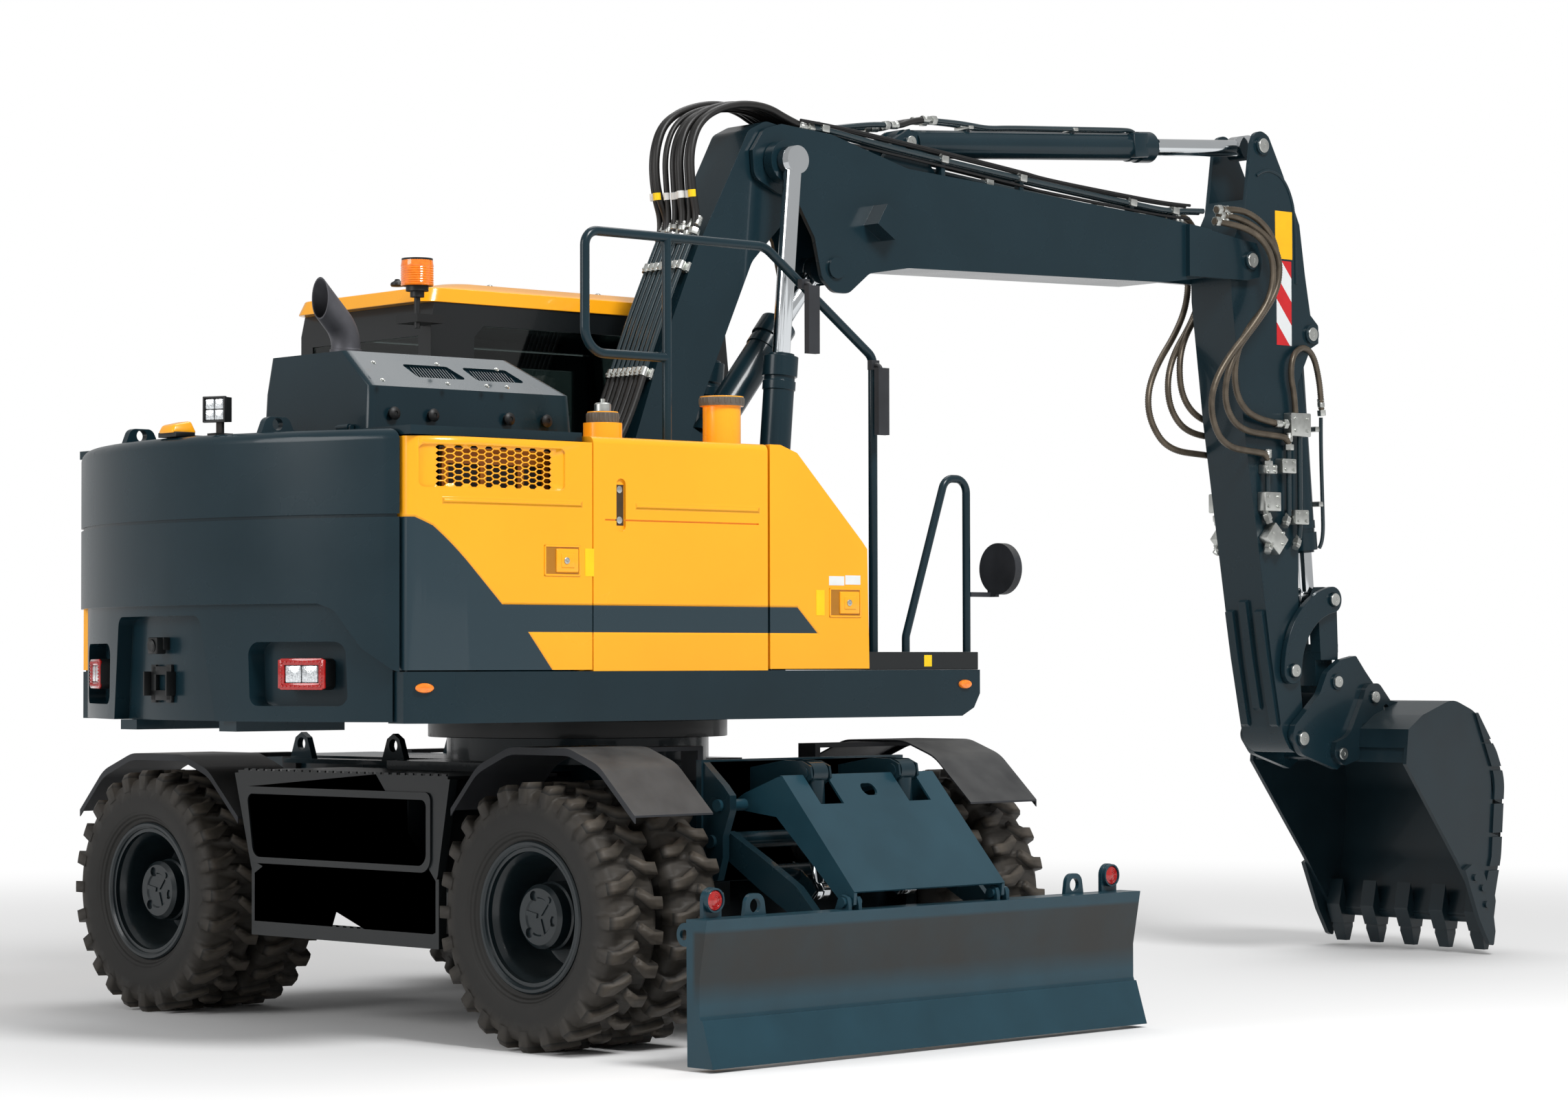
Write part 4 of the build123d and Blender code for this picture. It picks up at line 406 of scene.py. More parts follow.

# ---- bucket and blade ----------------------------------------------------------------------
# Working steel: the same teal, duller on the bucket. A dark grey is painted in patches across the upper
# part of the outer face of the blade's board: a painted reflection of the sky in its gloss.
bucket_paint = surface("worn_bucket_enamel", "#12232a", 0.32, coat=0.1, drift=(5.0, 0.14),
                       grain=(180.0, 0.0003),
                       dust=0.1, level=0.35)
dress(["bucket"], bucket_paint, 3.0)
blade_paint = surface("blade_enamel", "#1b3b47", 0.32, coat=0.12, drift=(4.0, 0.12), dust=0.03, level=0.25)
tree = blade_paint.node_tree
where = tree.nodes["Texture Coordinate"]
height = along(tree, Vector((0, 0, 1)), where, Vector((0, 0, 0)))
ahead = along(tree, Vector((1, 0, 0)), where, Vector((swing.x, 0, 0)))
board = spread(tree, height, 240.0, 330.0)
under = spread(tree, height, 520.0, 505.0)
face = spread(tree, ahead, -2010.0, -2030.0)
# dark grey patches on the board's upper outer face: a painted reflection of the sky
sky_reflection_noise = add(tree, "ShaderNodeTexNoise", {"Scale": 2.2, "Detail": 9.0, "Roughness": 0.65},
           {"Vector": where.outputs["Object"]})
painted_sky_reflection = spread(tree, sky_reflection_noise.outputs["Fac"], 0.3, 0.62, 0.72)
repaint(tree, "#222423", combine(tree, "MULTIPLY", board, under, face, painted_sky_reflection))
dress(["blade", "blade_cover"], blade_paint, 3.0)

# ---- pins and bolts ------------------------------------------------------------------------
# Zinc-plated pin faces with a dished middle, and hexagon bolts on washers, turned or forged and
# fitted from outside.
zinc = surface("zinc_plate", "#c4c6c2", 0.32, metal=1.0, drift=(30.0, 0.10), grain=(500.0, 0.00005))
rubber_black = surface("black_rubber", "#0d0d0e", 0.45, drift=(12.0, 0.15), grain=(400.0, 0.0001), level=0.4)


def at(x, y, z):
    """Matrix that moves to a point."""
    return Matrix.Translation((x, y, z))


def tipped(degrees, axis="Y"):
    """Matrix that turns about an axis."""
    return Matrix.Rotation(math.radians(degrees), 4, axis)


def toward(point, direction, roll=0.0):
    """Matrix at the point whose Z looks in that direction."""
    turn = Vector(direction).to_track_quat("Z", "Y").to_matrix().to_4x4()
    return Matrix.Translation(point) @ turn @ Matrix.Rotation(roll, 4, "Z")


def turned_shape(bm, place, profile, sides=20):
    """Adds a turned form: profile holds radius and height along the place's Z."""
    rings = []
    for radius, level in profile:
        if radius == 0:
            rings.append([bm.verts.new(place @ Vector((0, 0, level)))])
        else:
            rings.append([bm.verts.new(place @ Vector((radius * math.cos(2 * math.pi * i / sides),
                                                       radius * math.sin(2 * math.pi * i / sides), level)))
                          for i in range(sides)])
    for low, high in zip(rings, rings[1:]):
        for i in range(sides):
            j = (i + 1) % sides
            if len(low) == 1:
                bm.faces.new((low[0], high[i], high[j]))
            elif len(high) == 1:
                bm.faces.new((low[i], low[j], high[0]))
            else:
                bm.faces.new((low[i], low[j], high[j], high[i]))


def slab(bm, place, size, round_by=0.0, segments=2):
    """Adds a block centred on the place, with its edges rounded."""
    made = bmesh.ops.create_cube(bm, size=1.0, matrix=place @ Matrix.Diagonal((*size, 1.0)))
    if round_by:
        edges = list({edge for vert in made["verts"] for edge in vert.link_edges})
        bmesh.ops.bevel(bm, geom=edges, offset=round_by, segments=segments, affect="EDGES", profile=0.5)


def piece(name, bm, material, body, space=UPPER, angle=35):
    """Closes a mesh drawn in millimetres in one of the frames and hangs it on a body."""
    mesh = bpy.data.meshes.new(name)
    bmesh.ops.recalc_face_normals(bm, faces=bm.faces)
    bm.to_mesh(mesh)
    bm.free()
    mesh.transform(space)
    mesh.polygons.foreach_set("use_smooth", [True] * len(mesh.polygons))
    mesh.set_sharp_from_angle(angle=math.radians(angle))
    mesh.materials.append(material)
    made = bpy.data.objects.new(name, mesh)
    bpy.context.scene.collection.objects.link(made)
    if body:
        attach(made, body)
    return made


PIN = ((0, 0), (1.0, 0), (1.0, 5), (0.93, 8), (0.30, 8), (0.26, 5), (0.0, 5))


def pin_faces(name, body, places):
    """Zinc pin faces: x, z, y of the head and radius, in the boom plane, on both sides."""
    bm = bmesh.new()
    for x, z, y, radius in places:
        for side in (-1, 1):
            turned_shape(bm, toward((x, side * y, z), (0, side, 0)), [(r * radius, h) for r, h in PIN], 28)
    piece(name, bm, zinc, body, BOOM)


pin_faces("pin_faces_elbow", "boom_lower", ((1010, 3717, 209, 44), (660, 2420, 96, 26)))
pin_faces("pin_faces_boom", "boom_upper", ((4100, 3490, 193, 36), (1870, 3890, 96, 28)))
pin_faces("pin_faces_arm", "arm", ((4235, 4077, 149, 36), (4600, 3153, 149, 34), (4414, 1455, 185, 32)))
pin_faces("pin_faces_link", "bucket_link", ((4720, 1813, 183, 32),))
pin_faces("pin_faces_coupler", "coupler_and_bucket", ((4470, 1115, 187, 34), (4736, 1398, 187, 30),
                                                      (4736, 1035, 217, 30), (4989, 1319, 217, 30)))


def hexagon(bm, point, direction, across=19.0, tall=8.0, roll=0.0):
    """Hexagon head on its washer."""
    place = toward(point, direction, roll)
    turned_shape(bm, place, ((0, 0), (across * 0.75, 0), (across * 0.75, 2.5), (0, 2.5)), 18)
    turned_shape(bm, place, ((0, 2), (across * 0.577, 2), (across * 0.577, 2 + tall * 0.85),
                             (across * 0.48, 2 + tall), (0, 2 + tall)), 6)


# Red lenses on the two stands of the blade, moulded in concentric ridges.
red = surface("red_acrylic", "#a80f0c", 0.1, coat=0.7, drift=(80.0, 0.2), grain=(120.0, 0.0005))
bm = bmesh.new()
for y in (-1130, 1130):
    turned_shape(bm, toward((-2016.5, y, 624), (-1, 0, 0)),
                 ((0, 0), (37.5, 0), (37.5, 6), (35, 8), (34, 6.5), (28, 8), (27, 6.5), (21, 9), (20, 7.5),
                  (14, 9.5),
                  (13, 8), (7, 10), (0, 10)), 40)
piece("blade_reflectors", bm, red, "blade", CARRIER)

# ---- hood fittings -------------------------------------------------------------------------
# Zinc screws round the two vents, each turned as the wrench left it, and four black rubber knobs
# that clamp the hood's skirt.
random.seed(11)
bm = bmesh.new()
for x, y, z in ((-1584, -728, 2663), (-1272, -716, 2672), (-986, -725, 2665), (-1610, -826, 2588),
                (-1300, -826, 2588), (-1110, -826, 2588), (-1010, -826, 2588)):
    hexagon(bm, (x, y - 4, z + 4), (0, -0.6, 0.8), 13, 5, random.uniform(0, 1))
piece("hood_screws", bm, zinc, "hood")
bm = bmesh.new()
for x in (-1543, -1357, -987, -800):
    turned_shape(bm, toward((x, -800, 2468), (0, -1, 0.04)),
                 ((0, 0), (20, 0), (20, 3), (10, 5), (10, 10), (24, 13),
                  (26, 19), (20, 25), (9, 27), (8, 24), (0, 24)), 20)
piece("hood_knobs", bm, rubber_black, "hood")

# ---- beacon, work lamp and tail lamps ------------------------------------------------------
# Rotating beacon under a ribbed amber dome, amber side markers, a square work lamp with four
# reflector cells in a finned housing, and tail lamps with a red ring of diodes round two clear
# reflectors.
amber = surface("amber_polycarbonate", "#e8791a", 0.12, coat=0.6, drift=(60.0, 0.15), grain=(90.0, 0.0006))
shader = amber.node_tree.nodes["Principled BSDF"]
shader.inputs["Subsurface Weight"].default_value = 0.3
shader.inputs["Emission Color"].default_value = linear("#e8791a")
shader.inputs["Emission Strength"].default_value = 0.25
bm = bmesh.new()
dome = [(67, 3092), (70, 3098)]
for i in range(8):
    dome += [(67.5, 3101 + 10 * i), (69.5, 3106 + 10 * i)]
dome += [(68, 3184), (66, 3200), (58, 3208.5), (0, 3209)]
turned_shape(bm, at(-702, 200, 0), dome, 40)
piece("beacon_dome", bm, amber, "upper")
bm = bmesh.new()
for side in (-1, 1):
    for x, y, lean in ((-1678.6, 1199.7, 31.6), (1094, 1250, 0)):
        out = (-math.sin(math.radians(lean)), side * math.cos(math.radians(lean)), 0)
        place = toward((x, side * y, 1409), out) @ Matrix.Diagonal((1, 0.53, 1, 1))
        turned_shape(bm, place, ((0, 0), (35, 0), (35, 7), (31, 12), (22, 14.5), (0, 15.5)), 32)
piece("side_markers", bm, amber, "upper")
lens = surface("clear_reflector", "#d6dadd", 0.12, metal=0.7, coat=0.8, drift=(150.0, 0.35),
               grain=(160.0, 0.0015))
bm, clear = bmesh.new(), bmesh.new()
for side in (-1, 1):
    angle = math.radians(180 - side * 21.2)
    out = Vector((math.cos(angle), math.sin(angle), 0))
    middle = out * 2063.5 + Vector((0, 0, 1462))
    face_at = Matrix((Vector((-out.y, out.x, 0)), Vector((0, 0, 1)), out)).transposed().to_4x4()
    face_at = Matrix.Translation(middle) @ face_at
    for dx, dz, sx, sz in ((0, 47, 196, 27), (0, -47, 196, 27), (-93, 0, 30, 112), (93, 0, 30, 112)):
        slab(bm, face_at @ at(dx, dz, 0), (sx, sz, 12), 5)
    for dx in (-38, 38):
        slab(clear, face_at @ at(dx, 0, 0), (72, 64, 8), 5)
    for i in range(34):
        a = 2 * math.pi * i / 34
        dx = max(-92, min(92, 118 * math.cos(a)))
        dz = max(-46, min(46, 74 * math.sin(a)))
        turned_shape(bm, toward(face_at @ Vector((dx, dz, 5)), out),
                     ((0, 0), (5, 0), (4.5, 3), (2.5, 4.5), (0, 5)), 8)
work_lamp = at(-2000, -280, 2490.3) @ tipped(25, "Z")
for dy in (-21, 21):
    for dz in (-21, 21):
        slab(clear, work_lamp @ at(-24, dy, dz), (6, 38, 38), 2)
piece("tail_lamp_rings", bm, red, "upper")
piece("lamp_reflectors", clear, lens, "upper")
bm = bmesh.new()
for dy, dz, sy, sz in ((0, 47, 100, 8), (0, -47, 100, 8), (-47, 0, 8, 100), (47, 0, 8, 100)):
    slab(bm, work_lamp @ at(-25, dy, dz), (14, sy, sz), 2)
for i in range(6):
    slab(bm, work_lamp @ at(28, -36 + 14.4 * i, 0), (12, 4, 80), 1)
# small camera and its bracket in the recess under the counterweight's ledge, of the same plastic
slab(bm, at(-2012, 101, 1582), (36, 74, 50), 5)
slab(bm, at(-2036, 101, 1574), (46, 66, 66), 6, 3)
turned_shape(bm, toward((-2052, 101, 1574), (-1, 0, -0.15)), ((0, 0), (27, 0), (27, 12), (20, 16), (0, 14)),
             24)
for dy, dz, sy, sz in ((-52, -150, 34, 150), (60, -150, 34, 150), (4, -98, 130, 34), (4, -196, 150, 40)):
    slab(bm, at(-2008, 101 + dy, 1574 + dz), (14, sy, sz), 2)
for dy in (-78, 86):
    slab(bm, at(-2022, 101 + dy, 1424), (44, 8, 96), 2)
piece("lamp_housing_fins", bm, tread, "upper")

# ---- reversing camera on the counterweight -------------------------------------------------
# A pressed yellow wedge of a cover over a black bracket, screwed to the tail's top.
bm = bmesh.new()
slab(bm, at(-2030, -30, 2402), (90, 130, 20), 3)
slab(bm, at(-1935, -10, 2398), (110, 60, 12), 3)
piece("camera_bracket", bm, tread, "upper")
bm = bmesh.new()
vert = [bm.verts.new(Vector(v)) for v in ((-2084, -86, 2408), (-2084, 26, 2408), (-1970, 26, 2408),
                                          (-1970, -86, 2408), (-2072, -74, 2440), (-2072, 14, 2440),
                                          (-1990, 14, 2458), (-1990, -74, 2458))]
for face in ((0, 3, 2, 1), (4, 5, 6, 7), (0, 1, 5, 4), (1, 2, 6, 5), (2, 3, 7, 6), (3, 0, 4, 7)):
    bm.faces.new([vert[i] for i in face])
bmesh.ops.bevel(bm, geom=list(bm.edges), offset=10, segments=3, affect="EDGES", profile=0.5)
piece("camera_cover", bm, yellow, "upper")

# ---- door latches and blank plates ---------------------------------------------------------
# Each latch is a pressed pan with a lifting paddle and a zinc lock barrel. The plates beside
# them are blank yellow and white film.
DOOR_Y = -1250
FILM_Y = DOOR_Y - 0.6
film_yellow = surface("blank_yellow_film", "#f0c80c", 0.4, drift=(20.0, 0.04), level=0.4)
film_white = surface("blank_white_film", "#dfe1e0", 0.4, drift=(20.0, 0.03), level=0.4)
# Darker amber for the latch pans: painted shade, the pan's yellow as if shaded in its recess.
recess = surface("latch_pan_shadow", "#a86d0c", 0.4, drift=(20.0, 0.05))
for body, x, z in (("door_rear_right", -1062, 1897), ("door_front_right", 412, 1747)):
    bm = bmesh.new()
    for dx, dz, sx, sz in ((0, 56, 176, 8), (0, -56, 176, 8), (-84, 0, 8, 120), (84, 0, 8, 120)):
        slab(bm, at(x + dx, DOOR_Y - 1, z + dz), (sx, 7, sz), 3)
    slab(bm, at(x + 22, DOOR_Y - 2, z), (108, 12, 92), 5, 3)
    slab(bm, at(x + 22, DOOR_Y - 7, z), (66, 8, 56), 4, 3)
    piece("latch_" + body, bm, yellow, body)
    # a sheet of painted shade laid in each latch pan
    bm = bmesh.new()
    slab(bm, at(x, DOOR_Y - 0.5, z), (166, 1.6, 110))
    piece("latch_pan_" + body, bm, recess, body)
    bm = bmesh.new()
    turned_shape(bm, toward((x + 14, DOOR_Y - 11, z), (0, -1, 0)),
                 ((0, 0), (13, 0), (13, 3), (9, 5), (4, 5), (0, 3)), 24)
    piece("latch_lock_" + body, bm, zinc, body)
bm = bmesh.new()
slab(bm, at(-928, FILM_Y, 1892), (44, 1.0, 108))
piece("blank_plate_rear_door", bm, film_yellow, "door_rear_right")
bm = bmesh.new()
slab(bm, at(275, FILM_Y, 1746), (46, 1.0, 104))
piece("blank_plate_front_door", bm, film_yellow, "door_front_right")
bm = bmesh.new()
slab(bm, at(365, FILM_Y, 1837), (84, 1.0, 38))
slab(bm, at(455, FILM_Y, 1841), (84, 1.0, 38))
piece("blank_white_plates", bm, film_white, "door_front_right")
bm = bmesh.new()
slab(bm, at(888, -1242.6, 1508), (44, 1.2, 48))
piece("step_reflector", bm, film_yellow, "upper")
# Two zinc screws show in the tank's slot, on a dark brown back of painted shade.
bm = bmesh.new()
for z in (2180, 2060):
    turned_shape(bm, toward((-772, -1240, z), (0, -1, 0)), ((0, 0), (14, 0), (14, 3), (8, 5), (0, 4)), 20)
piece("tank_slot_screws", bm, zinc, "upper")
# painted shade: dark brown standing for the shaded depth of the slot
slot_dark = surface("slot_shadow_enamel", "#3a2a12", 0.6, drift=(20.0, 0.2))
bm = bmesh.new()
slab(bm, at(-770, -1239.4, 2119), (40, 1.0, 160))
piece("tank_slot_back", bm, slot_dark, "upper")

# ---- dust nets behind the grilles ----------------------------------------------------------
# Fine black net in a frame of darker amber, clipped behind the hexagons of each rear door so that
# it swings out with the door. The frame's darker amber is painted shade: the yellow inner panel as if shaded.
net = surface("black_dust_net", "#15110d", 0.7, drift=(30.0, 0.3), grain=(60.0, 0.004))
# painted shade: the door's yellow inner panel darkened as if in the shade behind the grille
shaded_frame_amber = surface("painted_shade_amber", "#a8620c", 0.5, drift=(12.0, 0.2))
NET_X = -1330
for side, body in ((-1, "door_rear_right"), (1, "door_rear_left")):
    bm = bmesh.new()
    slab(bm, at(NET_X, side * 1168, 2200), (520, 6, 250), 2)
    piece("dust_net_" + body, bm, net, body)
    bm = bmesh.new()
    for dx in (-240, -60, 120, 240):
        slab(bm, at(NET_X + dx, side * 1178, 2215), (30, 10, 190), 2)
    slab(bm, at(NET_X, side * 1180, 2290), (510, 12, 60), 2)
    piece("net_frame_" + body, bm, shaded_frame_amber, body)

# ---- filler necks --------------------------------------------------------------------------
# Screw caps of grey-brown plastic with grip ribs close the fuel and oil necks, and a zinc
# breather stands on the smaller one.
bm = bmesh.new()
CAP_Y = -1010
cap = surface("filler_cap_plastic", "#5a554d", 0.5, drift=(25.0, 0.2), grain=(300.0, 0.0002))
for x, r, z0, z1 in ((-48, 91, 2549, 2589), (-670, 63, 2452, 2501)):
    place = at(x, CAP_Y, 0)
    turned_shape(bm, place, ((0, z0), (r, z0), (r + 1.5, z0 + 5), (r + 1.5, z1 - 8), (r - 5, z1),
                             (r - 30, z1 + 1),
                             (0, z1 + 1)), 48)
    for i in range(24):
        a = 2 * math.pi * i / 24
        slab(bm, at(x + r * math.cos(a), CAP_Y + r * math.sin(a), (z0 + z1) / 2)
             @ Matrix.Rotation(a, 4, "Z"), (7, 8, z1 - z0 - 16), 1.5)
piece("filler_caps", bm, cap, "upper")
bm = bmesh.new()
turned_shape(bm, at(-670, CAP_Y, 0), ((20, 2500), (34, 2502), (34, 2530), (28, 2536), (10, 2537),
                                      (10, 2552), (0, 2553)), 28)
piece("breather", bm, zinc, "upper")

# ---- hoses and tubes of the boom -----------------------------------------------------------
# Pressure lines run as steel tubes along the boom and as black rubber hoses over each pin, with
# crimped zinc ferrules and hexagon nuts where they meet. Hoses that cross from one part to the next stay in
# place, on no body.
hose_rubber = surface("black_hose_rubber", "#121110", 0.42, drift=(14.0, 0.25), grain=(500.0, 0.0002),
                      level=0.45)
tube_paint = surface("tube_enamel", "#1a2b31", 0.25, coat=0.4, drift=(8.0, 0.1), level=0.4)


def smooth_line(points, step=8):
    """Points along the NURBS curve of the route."""
    curve = bpy.data.curves.new("route", "CURVE")
    curve.dimensions = "3D"
    spline = curve.splines.new("NURBS")
    spline.points.add(len(points) - 1)
    for point, place in zip(spline.points, points):
        point.co = (*place, 1)
    spline.order_u = 3
    spline.use_endpoint_u = True
    spline.resolution_u = step
    holder = bpy.data.objects.new("route", curve)
    mesh = bpy.data.meshes.new_from_object(holder)
    line = [vert.co.copy() for vert in mesh.vertices]
    bpy.data.objects.remove(holder)
    bpy.data.curves.remove(curve)
    bpy.data.meshes.remove(mesh)
    return line


def sweep(bm, line, radius, sides=12, ribs=0.0):
    """Adds a round tube along a line of points; ribs is the depth of a wire guard's coils."""
    rows = []
    side = (line[1] - line[0]).orthogonal().normalized()
    for i, spot in enumerate(line):
        ahead = (line[min(i + 1, len(line) - 1)] - line[max(i - 1, 0)]).normalized()
        side = (side - ahead * side.dot(ahead)).normalized()
        up = ahead.cross(side)
        r = radius - (ribs if i % 2 else 0)
        rows.append([bm.verts.new(spot + (side * math.cos(2 * math.pi * k / sides)
                                          + up * math.sin(2 * math.pi * k / sides)) * r) for k in range(sides)])
    for a, b in zip(rows, rows[1:]):
        for k in range(sides):
            bm.faces.new((a[k], a[(k + 1) % sides], b[(k + 1) % sides], b[k]))
    bm.faces.new(rows[0][::-1])
    bm.faces.new(rows[-1])


def even(line, gap):
    """The same line with points a fixed gap apart."""
    made, left = [line[0]], gap
    for a, b in zip(line, line[1:]):
        size = (b - a).length
        while left <= size and size:
            made.append(a.lerp(b, left / size))
            left += gap
        left -= size
    return made


def ferrule(bm, point, direction, radius):
    """Crimped sleeve with its nut, pointing along the hose."""
    r = radius
    turned_shape(bm, toward(point, direction), ((r, -46), (r * 1.2, -44), (r * 1.25, -38), (r * 1.15, -34),
                                                (r * 1.25, -30), (r * 1.15, -26), (r * 1.25, -22),
                                                (r * 1.2, -4),
                                                (r * 1.0, 0), (r * 0.8, 2), (r * 0.8, 12)), 18)
    turned_shape(bm, toward(point, direction), ((r * 0.7, 12), (r * 1.45, 13), (r * 1.5, 16), (r * 1.5, 38),
                                                (r * 1.4, 42), (r * 0.6, 43)), 6)


def lines(name, material, body, routes, radius, space=BOOM, ribs=0.0, gap=0.0, blend=None):
    """Tubes or hoses of one bundle. With blend given the bundle stays in place on no body; the second body and
    points that blend names are not used.
    """
    bm = bmesh.new()
    for route in routes:
        line = smooth_line([Vector(p) for p in route])
        sweep(bm, even(line, gap) if gap else line, radius, 12 if radius > 8 else 8, ribs)
    made = piece(name, bm, material, None if blend else body, space, 60)
    if blend:
        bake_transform(made)


random.seed(4)
rows = [(-122, 17), (-88, 13), (-58, 17), (-24, 13), (6, 17), (40, 13), (72, 17), (106, 14)]
feet, tubes, arcs, thin_feet, thin_arcs = [], [], [], [], []
fittings = bmesh.new()
bands = {"white": bmesh.new(), "yellow": bmesh.new()}
for number, (y, r) in enumerate(rows):
    lift = random.uniform(0, 55)
    low = [(-480, y * 0.8, 1500), (-430, y * 0.9, 1720), (-220, y, 1990 + lift), (-10, y, 2240),
           (120, y, 2440),
           (206, y, 2600), (262, y, 2745)]
    drop = 12 * (number % 3)
    tube = [(262, y, 2745), (300, y, 2840), (372, y, 3010), (470, y, 3222), (543 - drop, y, 3372 - 2 * drop)]
    arc = [(543 - drop, y, 3372 - 2 * drop), (566 - drop, y, 3430), (548 - lift, y, 3560),
           (540 - lift, y + 6, 3740),
           (610 - lift, y + 8, 3880 + lift * 0.4), (770, y + 4, 3952 + lift * 0.6),
           (960, y, 3962 + lift * 0.4),
           (1100, y, 3915), (1185, y, 3893)]
    ahead = Vector(arc[1]) - Vector(arc[0])
    ferrule(fittings, Vector(arc[0]) + ahead * 0.55, -ahead, r)
    thick = r > 15
    (feet if thick else thin_feet).append(low)
    (arcs if thick else thin_arcs).append(arc)
    tubes.append(tube)
    mark = "yellow" if number in (0, 6) else "white"
    spot = Vector((549 - lift, y + 1, 3545))
    turned_shape(bands[mark], toward(spot, (-0.1, 0, 1)),
                 ((r + 0.6, -16), (r + 1.4, -15), (r + 1.4, 15), (r + 0.6, 16)),
                 18)
over_foot = ("boom_lower", (-430, 0, 1720), (-10, 0, 2240))
over_elbow = ("boom_upper", (610, 0, 3700), (1100, 0, 3915))
lines("boom_foot_hoses", hose_rubber, "upper", feet, 17, blend=over_foot)
lines("boom_foot_hoses_thin", hose_rubber, "upper", thin_feet, 13, blend=over_foot)
lines("lower_boom_tubes", tube_paint, "boom_lower", tubes, 12)
lines("elbow_hoses", hose_rubber, "boom_lower", arcs, 17, blend=over_elbow)
lines("elbow_hoses_thin", hose_rubber, "boom_lower", thin_arcs, 13, blend=over_elbow)
piece("lower_boom_ferrules", fittings, zinc, "boom_lower", BOOM, 30)
piece("hose_bands_white", bands["white"], film_white, "boom_lower", BOOM)
piece("hose_bands_yellow", bands["yellow"], film_yellow, "boom_lower", BOOM)

# Brackets that carry the tubes: zinc bars with saddles on the lower boom's back, and blocks on
# top of the upper boom.
bm = bmesh.new()
for x, z, tilt in ((262, 2752, 66), (470, 3225, 64)):
    turn = tipped(90 - tilt)
    slab(bm, at(x + 22, -8, z - 6) @ turn, (14, 290, 44), 3)
    for y, r in rows:
        turned_shape(bm, at(x, y, z) @ turn, ((14, -20), (19, -20), (19, 20), (14, 20)), 16)
        hexagon(bm, (x - 18, y, z), (-0.9, 0, 0.4), 11, 6)
for x, z in ((290, 2742), (498, 3215)):
    for y in (-100, 100):
        slab(bm, at(x + 30, y, z - 10) @ tipped(25), (66, 26, 30), 3)
piece("lower_boom_clamps", bm, zinc, "boom_lower", BOOM)

upper_tubes, upper_cables = [], []
fittings = bmesh.new()
for y, r in rows:
    ferrule(fittings, (1196, y, 3891), (1, 0, -0.1), r)
for side in (-1, 1):
    for y, up in ((128, 0), (96, -4)):
        upper_tubes.append([(1235, side * y, 3889 + up), (1320, side * y, 3893 + up),
                            (1520, side * y, 3868 + up),
                            (1800, side * y, 3838 + up), (2560, side * y, 3772 + up),
                            (3300, side * y, 3716 + up),
                            (3560, side * y, 3698 + up), (3700, side * y, 3712 + up),
                            (3790, side * (y + 20), 3714 + up)])
    upper_tubes.append([(1235, side * 62, 3889), (1400, side * 66, 3912), (1560, side * 70, 3940),
                        (1700, side * 70, 3958), (1760, side * 70, 3960)])
    for y, up in ((142, 34), (112, 30), (136, -30)):
        upper_cables.append([(1150, side * y, 3885 + up), (1330, side * y, 3878 + up),
                             (1700, side * y, 3848 + up),
                             (2540, side * (y - 4), 3772 + up), (2700, side * (y - 10), 3750 + up),
                             (3300, side * y, 3712 + up), (3560, side * y, 3700 + up),
                             (3690, side * (y + 10), 3700 + up)])
lines("upper_boom_tubes", tube_paint, "boom_upper", upper_tubes, 13)
lines("upper_boom_cables", rubber_black, "boom_upper", upper_cables, 7)
for x, z in ((1300, 3893), (2040, 3818), (2550, 3773), (3300, 3716), (3600, 3700)):
    for side in (-1, 1):
        slab(fittings, at(x, side * 112, z + 2) @ tipped(5),
             (44, 74, 34), 4)
        hexagon(fittings, (x, side * 112, z + 20), (0.1, 0, 1), 15, 8, random.uniform(0, 1))
piece("upper_boom_clamps", fittings, zinc, "boom_upper", BOOM, 30)
bm = bmesh.new()
for x, z, top in ((1300, 3880, 3870), (2040, 3800, 3742), (2550, 3756, 3714), (3300, 3700, 3672),
                  (3600, 3684, 3655)):
    for side in (-1, 1):
        slab(bm, at(x, side * 112, (z + top) / 2), (26, 40, z - top + 30), 3)
slab(bm, at(1258, -100, 3890), (50, 60, 70), 4)
slab(bm, at(1258, 100, 3890), (50, 60, 70), 4)
piece("upper_boom_tube_posts", bm, teal, "boom_upper", BOOM)

# ---- arm cylinder lines --------------------------------------------------------------------
# Two hoses cross from the boom to tubes clipped on top of the arm cylinder, which end at the
# ports of its gland.
hoses_up, tubes_up = [], []
fittings = bmesh.new()
for y in (-34, 34):
    hoses_up.append([(1760, y * 2, 3960), (1820, y * 1.9, 3962), (1900, y * 1.5, 3990), (1990, y, 4010),
                     (2040, y, 4014)])
    tubes_up.append([(2050, y, 4014), (2200, y, 4018), (2300, y, 4016), (2420, y, 4010), (2560, y, 4026),
                     (2900, y, 4052), (3320, y, 4085), (3400, y, 4088), (3430, y, 4070), (3434, y, 4040)])
    ferrule(fittings, (2040, y, 4014), (1, 0, 0.03), 15)
    ferrule(fittings, (1764, y * 2, 3960), (-1, 0, -0.1), 15)
lines("arm_cylinder_hoses", hose_rubber, "boom_upper", hoses_up, 15,
      blend=("arm_cylinder_barrel", (1800, 0, 3960), (2000, 0, 4010)))
lines("arm_cylinder_tubes", tube_paint, "arm_cylinder_barrel", tubes_up, 11)
for x, z in ((2300, 4002), (3000, 4056), (3436, 4060)):
    slab(fittings, at(x, 0, z) @ tipped(-4.5), (30, 104, 16), 3)
    for y in (-14, 14):
        hexagon(fittings, (x, y, z + 8), (-0.08, 0, 1), 13, 7, random.uniform(0, 1))
for y in (-34, 34):
    turned_shape(fittings, toward((3434, y, 3990), (0, 0, 1)),
                 ((22, 0), (24, 4), (24, 34), (18, 38), (18, 62), (0, 62)), 6)
piece("arm_cylinder_fittings", fittings, zinc, "arm_cylinder_barrel", BOOM, 30)
bm = bmesh.new()
